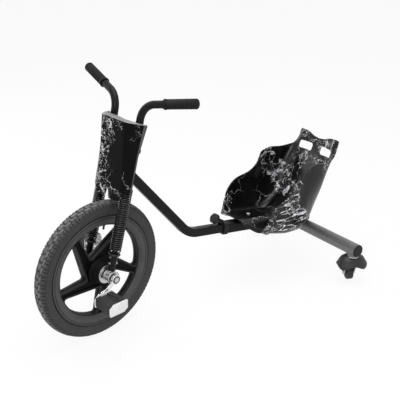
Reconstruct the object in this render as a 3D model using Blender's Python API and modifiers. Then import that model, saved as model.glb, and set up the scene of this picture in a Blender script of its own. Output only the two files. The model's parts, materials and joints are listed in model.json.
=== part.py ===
"""Child's drift scooter: a pedalled front wheel in a raked fork, a bent square main tube, and a rear
carriage with a bucket seat and two swivelling casters, which slides along the main tube.

Metres, +Z up. The front is -Y and the rider's left is +X. Every piece hangs from the empty
"scooter", which is placed last, so that the middle of the whole footprint is the world origin.
Inside it, the origin is the spot below the wheel's axle on the ground.
"""
from math import cos, pi, radians, sin, tan

import bmesh
import bpy
from mathutils import Matrix, Vector

# Running clearances
GAP = 0.0003            # between pieces that touch or turn in each other
RING_STEPS = 14         # sides of a hollow round piece

# Front wheel
WHEEL_RADIUS = 0.203
TYRE_HALF_WIDTH = 0.024
TYRE_WALL = 0.004
TYRE_HEIGHT = 0.0425    # of the tread above the bead, where the tyre sits on the wheel
FLANGE_HEIGHT = 0.003   # of the rim's edge above the bead
FLANGE_WIDTH = 0.003
RIM_HALF_WIDTH = 0.0195
RIM_DEPTH = 0.0235      # from the bead in to the spokes
WELL_DEPTH = 0.0085
WEB_HALF_WIDTH = 0.007  # of the spokes at the rim
WEB_ROOT_HALF_WIDTH = 0.011
HUB_RADIUS = 0.034
HUB_HALF_WIDTH = 0.036
SPOKE_COUNT = 5
FIRST_SPOKE = radians(56)       # above the forward direction
WINDOW_HALF_ANGLE = radians(25.5)
WINDOW_LIP = 0.003      # of the web left inside the rim
WINDOW_ROOT = 0.058     # nearest point of a window to the axle
WINDOW_FILLET = 0.010
VALVE_ANGLE = radians(101)
VALVE_RADIUS = 0.004
VALVE_LENGTH = 0.034

# Axle, cranks and pedals
AXLE_RADIUS = 0.0075
HUB_FLANGE_RADIUS = 0.027
HUB_FLANGE_THICKNESS = 0.003
HUB_FLANGE_HOLES = 4
CRANK_THICKNESS = 0.008
CRANK_OFFSET = 0.0735   # inner face from the wheel's middle
CRANK_FORWARD = 0.0525
CRANK_DROP = 0.0325
CRANK_BOSS_RADIUS = 0.014
CRANK_EYE_RADIUS = 0.0105
SPINDLE_RADIUS = 0.0045
SPINDLE_COLLAR = 0.007
PEDAL_START = 0.0895    # inner end plate from the wheel's middle
PEDAL_LENGTH = 0.068
PEDAL_DEPTH = 0.060
PEDAL_HEIGHT = 0.034
PEDAL_PLATE = 0.003
PEDAL_BARREL = 0.0085
TREAD_INSET = 0.002
TREAD_GROOVE = 0.0035

# Fork
RAKE = radians(15.3)
REST_STEER = radians(8)         # the fork stands turned to the rider's left
FORK_OFFSET = 0.0231    # the legs stand in front of the steering axis
LEG_SPACING = 0.053     # from the middle to each leg
LEG_RADIUS = 0.0105
LEG_WALL = 0.0016
LEG_BOTTOM = 0.0172     # above the axle
CARRIER_RADIUS = 0.0165
CARRIER_INNER = 0.0425
CARRIER_OUTER = 0.0700
CARRIER_LIP = 0.0195
CARRIER_LIP_WIDTH = 0.0035
CARRIER_PLUG_TOP = 0.066
BEARING_RADIUS = 0.011
BEARING_WIDTH = 0.0125
BOLT_RADIUS = 0.0025
BOLT_HEAD_RADIUS = 0.0042
BOLT_HEAD = 0.0032
BOLT_HEIGHTS = {"lower": 0.038, "upper": 0.0565}
COLLAR_BOTTOM = 0.0625
COLLAR_HEIGHT = 0.0045
COLLAR_RADIUS = 0.0150
COIL_RADIUS = 0.0132    # to the middle of the wire
WIRE_RADIUS = 0.0016
COIL_TURNS = 23
POINTS_A_TURN = 8
CROWN_THICKNESS = 0.010
LOWER_CROWN_BOTTOM = 0.2395
CROWN_LEG_RADIUS = 0.0160
CROWN_STEERER_RADIUS = 0.021
CROWN_NOSE_RADIUS = 0.009
HEAD_TUBE_RADIUS = 0.018
HEAD_TUBE_WALL = 0.003
HEAD_TUBE_LENGTH = 0.0835
CUP_HEIGHT = 0.009
CUP_RADIUS = 0.0205
STEERER_RADIUS = 0.0127
STEERER_WALL = 0.0022
NUT_HEIGHT = 0.008
NUT_RADIUS = 0.0175

# Handlebars
LEG_TOP_RISE = 0.003    # of the leg above the upper crown
BAR_RADIUS = 0.0105
BAR_WALL = 0.0016
BAR_PLUG_LENGTH = 0.050
BAR_CORNER_HEIGHT = 0.480
BAR_CORNER_FORWARD = 0.0040
BAR_STRAIGHT = 0.012    # of the bar above the leg
BAR_BEND = 0.050
BAR_END = Vector((0.222, -0.0041, 0.525))
GRIP_LENGTH = 0.1025
GRIP_RADIUS = 0.0138
GRIP_RING = 0.0150
GRIP_CAP = 0.003

# Shield: outline of half of it at four heights above the axle, as (across, behind the legs)
SHIELD_WALL = 0.0025
SHIELD_LIP = 0.009
SHIELD_SECTIONS = {
    0.212: ((0, -0.0215), (0.030, -0.0220), (0.048, -0.0212), (0.0655, -0.0142), (0.0712, -0.005),
            (0.0718, 0.001)),
    0.275: ((0, -0.0240), (0.030, -0.0250), (0.050, -0.0245), (0.0660, -0.0150), (0.0725, -0.005),
            (0.0735, -0.001)),
    0.345: ((0, -0.0335), (0.030, -0.0345), (0.048, -0.0340), (0.0650, -0.0190), (0.0730, -0.007),
            (0.0745, -0.003)),
    0.430: ((0, -0.0490), (0.030, -0.0510), (0.046, -0.0500), (0.0650, -0.0290), (0.0775, -0.007),
            (0.0795, 0.003)),
}
NOTCH_TOP = 0.236
NOTCH_HALF_WIDTH = 0.012
SCREW_RADIUS = 0.0022
SCREW_HEAD = 0.0045

# Main tube
TUBE_SIDE = 0.0265
TUBE_WALL = 0.0018
TUBE_CORNER = 0.0045
HEAD_JOINT = 0.2906     # where the tube's middle meets the steering axis, above the axle
TUBE_SLOPE = radians(50.45)     # of the front run, below the horizontal
RUN_SLOPE = radians(7.9)        # of the rear run
BEND_CORNER_Y = 0.3087
TUBE_BEND = 0.080
TUBE_END = 0.350        # along the rear run from the bend's corner

# Rear carriage, places along the rear run from the bend's corner
SLEEVE_START = 0.132
SLEEVE_LENGTH = 0.359
SLEEVE_WALL = 0.0033
SLEEVE_CORNER = 0.006
END_COLLAR_LENGTH = 0.016
END_COLLAR_WALL = 0.0022
END_COLLAR_LIP = 0.006
BRACKET_START = 0.197
BRACKET_LENGTH = 0.190
BRACKET_HALF_WIDTH = 0.028
BRACKET_THICKNESS = 0.010
SEAT_BOLT_INSET = 0.035
SEAT_BOLT_TO_RISE = 0.0128  # from the rear bolt to where the seat's floor starts to rise
KNOB_TILT = radians(62)         # forward of square to the run
KNOB_PLACE = 0.1596
KNOB_STUD = 0.003
KNOB_BOSS_RADIUS = 0.0080
KNOB_BOSS_TOP = 0.0625          # along the stud from the run's middle
KNOB_RADIUS = 0.0145
KNOB_HEIGHT = 0.016
KNOB_LOBES = 6
CROSS_INSET = 0.0061    # of the cross tube's middle from the sleeve's end
CROSS_RADIUS = 0.0203
CROSS_WALL = 0.002
CROSS_DRAIN = 0.004

# Seat shell, inner face: for each station from front to top, the middle, the bottom of the leg trough,
# the belly, the wall and the rim, each as (across, back, up); an up of None lies on the seat's bracket
SEAT_WALL = 0.004
SEAT_STATIONS = (
    ((0, 0.478, None), (0.065, 0.492, 0.214), (0.092, 0.505, 0.206), (0.099, 0.512, 0.206),
     (0.104, 0.520, 0.207)),
    ((0, 0.505, None), (0.075, 0.520, 0.198), (0.099, 0.528, 0.202), (0.109, 0.538, 0.233),
     (0.112, 0.548, 0.268)),
    ((0, 0.560, None), (0.080, 0.567, 0.184), (0.105, 0.573, 0.194), (0.116, 0.582, 0.245),
     (0.116, 0.590, 0.297)),
    ((0, 0.620, None), (0.082, 0.620, 0.172), (0.107, 0.623, 0.186), (0.119, 0.631, 0.248),
     (0.116, 0.640, 0.307)),
    ((0, 0.670, None), (0.082, 0.667, 0.169), (0.106, 0.666, 0.187), (0.118, 0.667, 0.256),
     (0.112, 0.668, 0.330)),
    ((0, 0.708, 0.219), (0.082, 0.704, 0.190), (0.103, 0.698, 0.209), (0.114, 0.690, 0.290),
     (0.106, 0.684, 0.370)),
    ((0, 0.745, 0.255), (0.080, 0.735, 0.226), (0.098, 0.726, 0.249), (0.109, 0.722, 0.315),
     (0.103, 0.720, 0.379)),
    ((0, 0.772, 0.300), (0.074, 0.764, 0.275), (0.093, 0.757, 0.291), (0.102, 0.758, 0.337),
     (0.099, 0.762, 0.374)),
    ((0, 0.793, 0.345), (0.066, 0.788, 0.329), (0.084, 0.783, 0.338), (0.092, 0.790, 0.360),
     (0.092, 0.802, 0.378)),
    ((0, 0.812, 0.385), (0.056, 0.812, 0.379), (0.074, 0.813, 0.384), (0.081, 0.821, 0.392),
     (0.083, 0.830, 0.398)),
    ((0, 0.829, 0.414), (0.048, 0.831, 0.418), (0.062, 0.833, 0.420), (0.070, 0.836, 0.421),
     (0.073, 0.838, 0.420)),
)
RIDGE_HALF_WIDTH = 0.033
SEAT_ROWS = 1           # mesh rows for each station
SEAT_COLUMNS = 2        # mesh columns for each control point
HAND_HOLE_X = 0.042
HAND_HOLE_Z = 0.379
HAND_HOLE_WIDTH = 0.035
HAND_HOLE_HEIGHT = 0.024
BACK_CREST = 0.008      # the top edge rises this much between its middle and its corners

# Casters
HOUSING_X = 0.230
HOUSING_RADIUS = 0.0208
HOUSING_TOP = 0.0175    # above the cross tube's middle
HOUSING_BOTTOM = 0.0213         # below it
KINGPIN_RADIUS = 0.005
KINGPIN_LENGTH = 0.030
CASTER_TRAIL = 0.030
CASTER_TURN = radians(62)       # of each caster, inwards from straight back
CASTER_FLANGE_RADIUS = 0.018
CASTER_FLANGE = 0.003
CASTER_NECK_RADIUS = 0.009
CASTER_PLATE_DROP = 0.020       # of the fork's top below the housing
CASTER_WHEEL_RADIUS = 0.0240
CASTER_WHEEL_HALF_WIDTH = 0.011
CASTER_HUB_HALF_WIDTH = 0.0138
CHEEK_INNER = 0.0145
CHEEK_THICKNESS = 0.003
CASTER_PIN = 0.004
CASTER_PIN_HEAD = 0.0065
HOOD_CENTRE = 0.009     # behind the kingpin
HOOD_WALL = 0.0025
HOOD_FLAT = 0.024
HOOD_RADIUS = 0.045
HOOD_ACROSS = 1.22      # of the radius, across the caster
HOOD_ALONG = 0.84       # of the radius, along its trail
HOOD_DEPTH = 0.040

PARTS = None
CUTTERS = None


def start_scene():
    """Remove what is in the scene and make the two collections."""
    for obj in list(bpy.data.objects):
        bpy.data.objects.remove(obj)
    global PARTS, CUTTERS
    PARTS = bpy.data.collections.new("drift_scooter")
    CUTTERS = bpy.data.collections.new("cutters")
    for group in (PARTS, CUTTERS):
        bpy.context.scene.collection.children.link(group)


def material(name, colour, roughness, metallic=0.0):
    """A Principled material; the same name gives the same material."""
    found = bpy.data.materials.get(name)
    if found:
        return found
    made = bpy.data.materials.new(name)
    made.use_nodes = True
    shader = made.node_tree.nodes["Principled BSDF"]
    shader.inputs["Base Color"].default_value = (*colour, 1.0)
    shader.inputs["Roughness"].default_value = roughness
    shader.inputs["Metallic"].default_value = metallic
    return made


def black_paint():
    return material("black_paint", (0.014, 0.014, 0.015), 0.38)


def black_plastic():
    return material("black_plastic", (0.020, 0.020, 0.021), 0.45)


def gloss_plastic():
    return material("gloss_black_plastic", (0.010, 0.010, 0.011), 0.16)


def rubber():
    return material("rubber", (0.030, 0.030, 0.031), 0.75)


def foam():
    return material("grip_foam", (0.016, 0.016, 0.017), 0.85)


def zinc():
    return material("zinc_plate", (0.62, 0.62, 0.61), 0.34, 1.0)


def chrome():
    return material("chrome", (0.80, 0.80, 0.80), 0.14, 1.0)


def pale_plastic():
    return material("pale_plastic", (0.80, 0.80, 0.81), 0.40)


def empty(name, parent, matrix):
    """An empty that carries a group of pieces."""
    obj = bpy.data.objects.new(name, None)
    PARTS.objects.link(obj)
    obj.parent = parent
    obj.matrix_local = matrix
    obj.empty_display_size = 0.03
    return obj


def move(x, y, z):
    return Matrix.Translation((x, y, z))


def facing(origin, direction):
    """A frame at origin whose Z looks along direction."""
    turn = Vector(direction).to_track_quat("Z", "Y").to_matrix().to_4x4()
    return Matrix.Translation(origin) @ turn


def place(name, mesh, finish, parent, matrix):
    """One named piece of the object."""
    obj = bpy.data.objects.new(name, mesh)
    PARTS.objects.link(obj)
    obj.parent = parent
    obj.matrix_local = matrix
    mesh.materials.append(finish)
    return obj


def as_tool(obj):
    """Make a piece into a tool that only cuts or joins another one."""
    PARTS.objects.unlink(obj)
    CUTTERS.objects.link(obj)
    obj.hide_render = True
    obj.display_type = "WIRE"
    return obj


def boolean(target, tool, operation):
    change = target.modifiers.new(operation.lower(), "BOOLEAN")
    change.operation = operation
    change.solver = "EXACT"
    change.object = as_tool(tool)


def cut(target, tool):
    boolean(target, tool, "DIFFERENCE")


def join(target, tool):
    boolean(target, tool, "UNION")


def smooth(mesh):
    mesh.shade_smooth()
    mesh.set_sharp_from_angle(angle=radians(35))


def turned(name, profile, steps, finish, parent, matrix):
    """A profile of (radius, height), listed down its outer side, turned about Z.

    A profile that starts on the axis stays open; any other is closed into a ring.
    """
    shape = bmesh.new()
    points = [shape.verts.new((radius, 0, height)) for radius, height in profile]
    for first, second in zip(points, points[1:]):
        shape.edges.new((first, second))
    if profile[0][0] > 0:
        shape.edges.new((points[-1], points[0]))
    mesh = bpy.data.meshes.new(name)
    shape.to_mesh(mesh)
    shape.free()
    obj = place(name, mesh, finish, parent, matrix)
    screw = obj.modifiers.new("turn", "SCREW")
    screw.steps = steps
    screw.render_steps = steps
    screw.use_merge_vertices = True
    screw.merge_threshold = 0.0001
    screw.use_smooth_shade = True
    return obj


def rod(name, radius, start, end, finish, parent, matrix, steps=16):
    """A solid round bar from start to end along Z."""
    profile = ((0, end), (radius, end), (radius, start), (0, start))
    return turned(name, profile, steps, finish, parent, matrix)


def ring(name, outer, inner, start, end, finish, parent, matrix, steps=RING_STEPS):
    """A hollow round piece from start to end along Z."""
    profile = ((outer, end), (outer, start), (inner, start), (inner, end))
    return turned(name, profile, steps, finish, parent, matrix)


def drill(target, radius, start, end, parent, matrix, steps=16):
    """Cut a round hole along Z of the matrix."""
    cut(target, rod("drill", radius, start, end, target.data.materials[0], parent, matrix, steps))


def box(name, low, high, finish, parent, matrix, bevel=0.0):
    """A block between two corners, with its edges rounded by the bevel."""
    low, high = Vector(low), Vector(high)
    shape = bmesh.new()
    bmesh.ops.create_cube(shape, size=1.0)
    bmesh.ops.scale(shape, vec=high - low, verts=shape.verts)
    bmesh.ops.translate(shape, vec=(low + high) / 2, verts=shape.verts)
    mesh = bpy.data.meshes.new(name)
    shape.to_mesh(mesh)
    shape.free()
    obj = place(name, mesh, finish, parent, matrix)
    if bevel:
        edge = obj.modifiers.new("edges", "BEVEL")
        edge.width = bevel
        edge.segments = 2
    return obj


def rounded(corners, radii, steps, closed=False):
    """Points along straight runs whose corners are arcs; a radius of 0 keeps the corner."""
    corners = [Vector(corner) for corner in corners]
    if not hasattr(radii, "__len__"):
        radii = [radii] * len(corners)
    points = []
    for index, corner in enumerate(corners):
        is_end = not closed and index in (0, len(corners) - 1)
        if is_end or not radii[index]:
            points.append(corner)
            continue
        before = (corners[index - 1] - corner).normalized()
        after = (corners[(index + 1) % len(corners)] - corner).normalized()
        half = before.angle(after) / 2
        centre = corner + (before + after).normalized() * radii[index] / sin(half)
        first = corner + before * radii[index] / tan(half) - centre
        last = corner + after * radii[index] / tan(half) - centre
        sweep = pi - 2 * half
        for step in range(steps + 1):
            share = step / steps
            arm = (first * sin((1 - share) * sweep) + last * sin(share * sweep)) / sin(sweep)
            points.append(centre + arm)
    return points


def square(side, corner, steps=2):
    """A square with rounded corners, about the origin."""
    half = side / 2
    corners = ((half, -half, 0), (half, half, 0), (-half, half, 0), (-half, -half, 0))
    return rounded(corners, corner, steps, closed=True)


def circle(x, y, radius, steps=14):
    return [Vector((x + radius * cos(2 * pi * i / steps), y + radius * sin(2 * pi * i / steps), 0))
            for i in range(steps)]


def hull(circles, steps=14):
    """The outline of a belt drawn round some circles, each (x, y, radius)."""
    cloud = sorted((point.x, point.y) for x, y, radius in circles for point in circle(x, y, radius, steps))

    def half(points):
        chain = []
        for x, y in points:
            while len(chain) > 1:
                (ax, ay), (bx, by) = chain[-2:]
                if (bx - ax) * (y - ay) - (by - ay) * (x - ax) > 1e-12:
                    break
                chain.pop()
            chain.append((x, y))
        return chain[:-1]

    return [Vector((x, y, 0)) for x, y in half(cloud) + half(cloud[::-1])]


def curve_data(name, splines, closed, dimensions):
    data = bpy.data.curves.new(name, "CURVE")
    data.dimensions = dimensions
    for points in splines:
        spline = data.splines.new("POLY")
        spline.points.add(len(points) - 1)
        for target, point in zip(spline.points, points):
            target.co = (*point, 1.0)
        spline.use_cyclic_u = closed
    return data


def mesh_of(data):
    """The welded mesh of a curve's data."""
    guide = bpy.data.objects.new("guide", data)
    bpy.context.scene.collection.objects.link(guide)
    evaluated = guide.evaluated_get(bpy.context.evaluated_depsgraph_get())
    mesh = bpy.data.meshes.new_from_object(evaluated)
    mesh.materials.clear()
    bpy.data.objects.remove(guide)
    shape = bmesh.new()
    shape.from_mesh(mesh)
    bmesh.ops.remove_doubles(shape, verts=shape.verts, dist=1e-5)
    bmesh.ops.recalc_face_normals(shape, faces=shape.faces)
    shape.to_mesh(mesh)
    shape.free()
    smooth(mesh)
    return mesh


def flat(name, outlines, thickness, finish, parent, matrix):
    """A flat piece with holes, its thickness centred on Z = 0."""
    data = curve_data(name, outlines, True, "2D")
    data.fill_mode = "BOTH"
    data.extrude = thickness / 2
    return place(name, mesh_of(data), finish, parent, matrix)


def tube(name, points, radius, finish, parent, matrix, resolution=2):
    """A solid round bar along points."""
    data = curve_data(name, [points], False, "3D")
    data.bevel_depth = radius
    data.bevel_resolution = resolution
    data.use_fill_caps = True
    return place(name, mesh_of(data), finish, parent, matrix)


def square_bar(name, points, side, corner, finish, parent, matrix):
    """A solid square bar with rounded corners along points in an upright plane."""
    section = bpy.data.objects.new("section", curve_data("section", [square(side, corner)], True, "2D"))
    bpy.context.scene.collection.objects.link(section)
    data = curve_data(name, [points], False, "3D")
    data.twist_mode = "Z_UP"
    data.bevel_mode = "OBJECT"
    data.bevel_object = section
    data.use_fill_caps = True
    mesh = mesh_of(data)
    bpy.data.objects.remove(section)
    return place(name, mesh, finish, parent, matrix)


def extended(points, start=0.0, end=0.0):
    """The same route with its first and last point pushed out along their runs."""
    points = [Vector(point) for point in points]
    points[0] = points[0] + (points[0] - points[1]).normalized() * start
    points[-1] = points[-1] + (points[-1] - points[-2]).normalized() * end
    return points


X_AXIS = Matrix.Rotation(pi / 2, 4, "Y")        # turns Z to +X
FRONT = Matrix.Rotation(pi / 2, 4, "X")         # turns Z to -Y
BACK = Matrix.Rotation(-pi / 2, 4, "X")         # turns Z to +Y
# Turns a flat outline drawn in X and Y to stand in Y and Z, facing +X
UPRIGHT = Matrix(((0, 0, 1, 0), (1, 0, 0, 0), (0, 1, 0, 0), (0, 0, 0, 1)))

# Places that follow from the sizes
BEAD_RADIUS = WHEEL_RADIUS - TYRE_HEIGHT
RIM_INNER = BEAD_RADIUS - RIM_DEPTH
RIM_EDGE = BEAD_RADIUS + FLANGE_HEIGHT
LOWER_CROWN_TOP = LOWER_CROWN_BOTTOM + CROWN_THICKNESS
HEAD_BOTTOM = LOWER_CROWN_TOP + CUP_HEIGHT + 2 * GAP
HEAD_TOP = HEAD_BOTTOM + HEAD_TUBE_LENGTH
UPPER_CROWN_BOTTOM = HEAD_TOP + CUP_HEIGHT + 2 * GAP
UPPER_CROWN_TOP = UPPER_CROWN_BOTTOM + CROWN_THICKNESS
LEG_TOP = UPPER_CROWN_TOP + LEG_TOP_RISE
SLEEVE_SIDE = TUBE_SIDE + 2 * GAP + 2 * SLEEVE_WALL
SLEEVE_TOP = SLEEVE_SIDE / 2
CROSS_PLACE = SLEEVE_START + SLEEVE_LENGTH - CROSS_INSET
SIDES = {"left": 1, "right": -1}


def steering_point(height):
    """A point on the steering axis, at a height along it above the axle's foot, wheel straight ahead."""
    foot = Vector((0, FORK_OFFSET * cos(RAKE), WHEEL_RADIUS - FORK_OFFSET * sin(RAKE)))
    return foot + height * Vector((0, sin(RAKE), cos(RAKE)))


def tube_corner():
    """The corner where the main tube's two straight runs would meet."""
    joint = steering_point(HEAD_JOINT)
    drop = (BEND_CORNER_Y - joint.y) * tan(TUBE_SLOPE)
    return Vector((0, BEND_CORNER_Y, joint.z - drop))


def shield_row(height):
    """The shield's half outline at a height, between the sections given."""
    heights = sorted(SHIELD_SECTIONS)
    low = max([h for h in heights[:-1] if h <= height], default=heights[0])
    high = heights[heights.index(low) + 1]
    share = (height - low) / (high - low)
    return [Vector(a).lerp(Vector(b), share) for a, b in zip(SHIELD_SECTIONS[low], SHIELD_SECTIONS[high])]


def make_frame(root):
    """Main tube, head tube and headset cups."""
    head = empty("head_axis", root, move(*steering_point(0)) @ Matrix.Rotation(-RAKE, 4, "X"))
    ring("head_tube", HEAD_TUBE_RADIUS, HEAD_TUBE_RADIUS - HEAD_TUBE_WALL, HEAD_BOTTOM, HEAD_TOP,
         black_paint(), head, Matrix())
    bore = (STEERER_RADIUS + GAP) / cos(pi / RING_STEPS)
    ring("lower_headset_cup", CUP_RADIUS, bore, LOWER_CROWN_TOP + GAP, HEAD_BOTTOM - GAP, zinc(), head,
         Matrix())
    ring("upper_headset_cup", CUP_RADIUS, bore, HEAD_TOP + GAP, UPPER_CROWN_BOTTOM - GAP, zinc(), head,
         Matrix())

    corner = tube_corner()
    run = Vector((0, cos(RUN_SLOPE), -sin(RUN_SLOPE)))
    route = rounded((steering_point(HEAD_JOINT), corner, corner + run * TUBE_END), TUBE_BEND, 5)
    bar = square_bar("main_tube", route, TUBE_SIDE, TUBE_CORNER, black_paint(), root, Matrix())
    bore = square_bar("bore", extended(route, end=0.01), TUBE_SIDE - 2 * TUBE_WALL, TUBE_CORNER - TUBE_WALL,
                      black_paint(), root, Matrix())
    cut(bar, bore)
    drill(bar, HEAD_TUBE_RADIUS + GAP, HEAD_BOTTOM - 0.03, HEAD_TOP + 0.03, head, Matrix(), 18)
    return head


def make_crown(name, bottom, fork):
    """A plate that clamps both legs and the steerer, with a nose that carries the shield."""
    nose = shield_row(bottom)[0].y + 1.1 * SHIELD_WALL + GAP - FORK_OFFSET
    outline = hull(((LEG_SPACING, -FORK_OFFSET, CROWN_LEG_RADIUS),
                    (-LEG_SPACING, -FORK_OFFSET, CROWN_LEG_RADIUS),
                    (0, 0, CROWN_STEERER_RADIUS), (0, nose + CROWN_NOSE_RADIUS, CROWN_NOSE_RADIUS)))
    holes = [circle(side * LEG_SPACING, -FORK_OFFSET, LEG_RADIUS + GAP) for side in SIDES.values()]
    holes.append(circle(0, 0, STEERER_RADIUS + GAP))
    middle = bottom + CROWN_THICKNESS / 2
    crown = flat(name, [outline] + holes, CROWN_THICKNESS, black_paint(), fork, move(0, 0, middle))
    face = move(0, nose, middle) @ FRONT
    drill(crown, SCREW_RADIUS + GAP, -0.012, 0.01, fork, face, 12)


def make_steerer(fork):
    """Steerer tube through the head tube, with its nut on the upper crown."""
    top = UPPER_CROWN_TOP + GAP + NUT_HEIGHT
    ring("steerer_tube", STEERER_RADIUS, STEERER_RADIUS - STEERER_WALL, LOWER_CROWN_BOTTOM, top,
         zinc(), fork, Matrix())
    outlines = [circle(0, 0, NUT_RADIUS, 6), circle(0, 0, STEERER_RADIUS + GAP)]
    flat("steerer_nut", outlines, NUT_HEIGHT, zinc(), fork, move(0, 0, top - NUT_HEIGHT / 2))
    make_crown("lower_crown", LOWER_CROWN_BOTTOM, fork)
    make_crown("upper_crown", UPPER_CROWN_BOTTOM, fork)


def coil_route(bottom, top):
    """The wire's middle line: a straight lead square to each seat, a quarter bend, then even turns."""
    lead = 2 * WIRE_RADIUS
    bend = 2 * WIRE_RADIUS

    def spot(angle, height):
        return Vector((COIL_RADIUS * cos(angle), COIL_RADIUS * sin(angle), height))

    bend_turn = bend / COIL_RADIUS
    start = bottom + lead + bend
    rise = (top - lead - bend - start) / (COIL_TURNS * POINTS_A_TURN)
    entry = [spot(0, bottom), spot(0, bottom + lead)]
    entry.append(spot(bend_turn * (1 - cos(pi / 4)), bottom + lead + bend * sin(pi / 4)))
    turns = [spot(bend_turn + 2 * pi * i / POINTS_A_TURN, start + rise * i)
             for i in range(COIL_TURNS * POINTS_A_TURN + 1)]
    last = bend_turn + 2 * pi * COIL_TURNS
    leave = [spot(last + bend_turn * cos(pi / 4), top - lead - bend * sin(pi / 4))]
    leave += [spot(last + bend_turn, top - lead), spot(last + bend_turn, top)]
    return entry + turns + leave


def least_gap(points):
    """The smallest clear space between two stretches of the wire that aren't neighbours."""
    apart = POINTS_A_TURN // 2
    nearest = min((points[i] - points[j]).length
                  for i in range(len(points))
                  for j in range(i + apart, min(len(points), i + 3 * POINTS_A_TURN)))
    return nearest - 2 * WIRE_RADIUS


def make_leg(name, side, fork):
    """One fork leg with its spring, collar, handlebar and grip."""
    foot = move(side * LEG_SPACING, -FORK_OFFSET, 0)
    leg = ring(name + "_fork_leg", LEG_RADIUS, LEG_RADIUS - LEG_WALL, LEG_BOTTOM, LEG_TOP,
               black_paint(), fork, foot)
    ring(name + "_spring_collar", COLLAR_RADIUS, LEG_RADIUS + GAP, COLLAR_BOTTOM,
         COLLAR_BOTTOM + COLLAR_HEIGHT,
         black_plastic(), fork, foot)
    points = coil_route(COLLAR_BOTTOM + COLLAR_HEIGHT + GAP, LOWER_CROWN_BOTTOM - GAP)
    tube(name + "_spring", points, WIRE_RADIUS, black_paint(), fork, foot, resolution=1)
    print(name, "spring, least gap to itself in mm:", round(1000 * least_gap(points), 2))

    start = Vector((side * LEG_SPACING, -FORK_OFFSET, LEG_TOP + GAP))
    bend = Vector((side * LEG_SPACING, -FORK_OFFSET - BAR_CORNER_FORWARD, BAR_CORNER_HEIGHT))
    outer = Vector((side * BAR_END.x, BAR_END.y, BAR_END.z))
    along = (outer - bend).normalized()
    upright = start + Vector((0, 0, BAR_STRAIGHT))
    route = rounded((start, upright, bend, outer - along * (GRIP_CAP + GAP)), (0, 0, BAR_BEND, 0), 5)
    bar = tube(name + "_handlebar", route, BAR_RADIUS, black_paint(), fork, Matrix(), resolution=2)
    plug_radius = LEG_RADIUS - LEG_WALL - GAP
    join(bar, rod("plug", plug_radius, start.z - BAR_PLUG_LENGTH, start.z + 0.004, black_paint(), fork, foot))
    bore = tube("bore", extended(route, 0, 0.01), BAR_RADIUS - BAR_WALL - 0.001, black_paint(), fork,
                Matrix(), 1)
    cut(bar, bore)
    drill(bar, plug_radius - BAR_WALL, start.z - BAR_PLUG_LENGTH - 0.01, start.z + 0.006, fork, foot)

    length = GRIP_LENGTH
    profile = ((0, length), (GRIP_RADIUS * 0.72, length), (GRIP_RADIUS * 0.95, length - 0.0025),
               (GRIP_RADIUS, length - 0.006), (GRIP_RADIUS, 0.0035), (GRIP_RING, 0.003), (GRIP_RING, 0),
               (BAR_RADIUS + GAP, 0), (BAR_RADIUS + GAP, length - GRIP_CAP), (0, length - GRIP_CAP))
    turned(name + "_grip", profile, 14, foam(), fork, facing(outer - along * length, along))
    make_carrier(name, side, fork, leg, foot)


def make_carrier(name, side, fork, leg, foot):
    """The bearing carrier that plugs into a leg's lower end, its bearing and two bolts."""
    axle = move(0, -FORK_OFFSET, 0) @ Matrix.Rotation(side * pi / 2, 4, "Y")
    lip_start = CARRIER_OUTER - CARRIER_LIP_WIDTH
    profile = ((CARRIER_LIP, CARRIER_OUTER), (CARRIER_LIP, lip_start), (CARRIER_RADIUS, lip_start),
               (CARRIER_RADIUS, CARRIER_INNER), (AXLE_RADIUS + 0.002, CARRIER_INNER),
               (AXLE_RADIUS + 0.002, CARRIER_OUTER - BEARING_WIDTH - GAP),
               (BEARING_RADIUS + GAP, CARRIER_OUTER - BEARING_WIDTH - GAP),
               (BEARING_RADIUS + GAP, CARRIER_OUTER))
    carrier = turned(name + "_axle_carrier", profile, 14, zinc(), fork, axle)
    plug = rod("plug", LEG_RADIUS - LEG_WALL - GAP, CARRIER_RADIUS - 0.003, CARRIER_PLUG_TOP, zinc(), fork,
               foot)
    join(carrier, plug)
    ring(name + "_wheel_bearing", BEARING_RADIUS, AXLE_RADIUS + GAP, CARRIER_OUTER - BEARING_WIDTH,
         CARRIER_OUTER, chrome(), fork, axle)
    reach = LEG_RADIUS + GAP
    for level, height in BOLT_HEIGHTS.items():
        line = foot @ move(0, 0, height) @ FRONT
        for target in (leg, carrier):
            drill(target, BOLT_RADIUS + GAP, -2 * LEG_RADIUS, 2 * LEG_RADIUS, fork, line, 8)
        profile = ((0, reach + BOLT_HEAD), (BOLT_HEAD_RADIUS, reach + BOLT_HEAD), (BOLT_HEAD_RADIUS, reach),
                   (BOLT_RADIUS, reach), (BOLT_RADIUS, -reach), (BOLT_HEAD_RADIUS, -reach),
                   (BOLT_HEAD_RADIUS, -reach - BOLT_HEAD), (0, -reach - BOLT_HEAD))
        turned(name + "_" + level + "_carrier_bolt", profile, 6, zinc(), fork, line)


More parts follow.
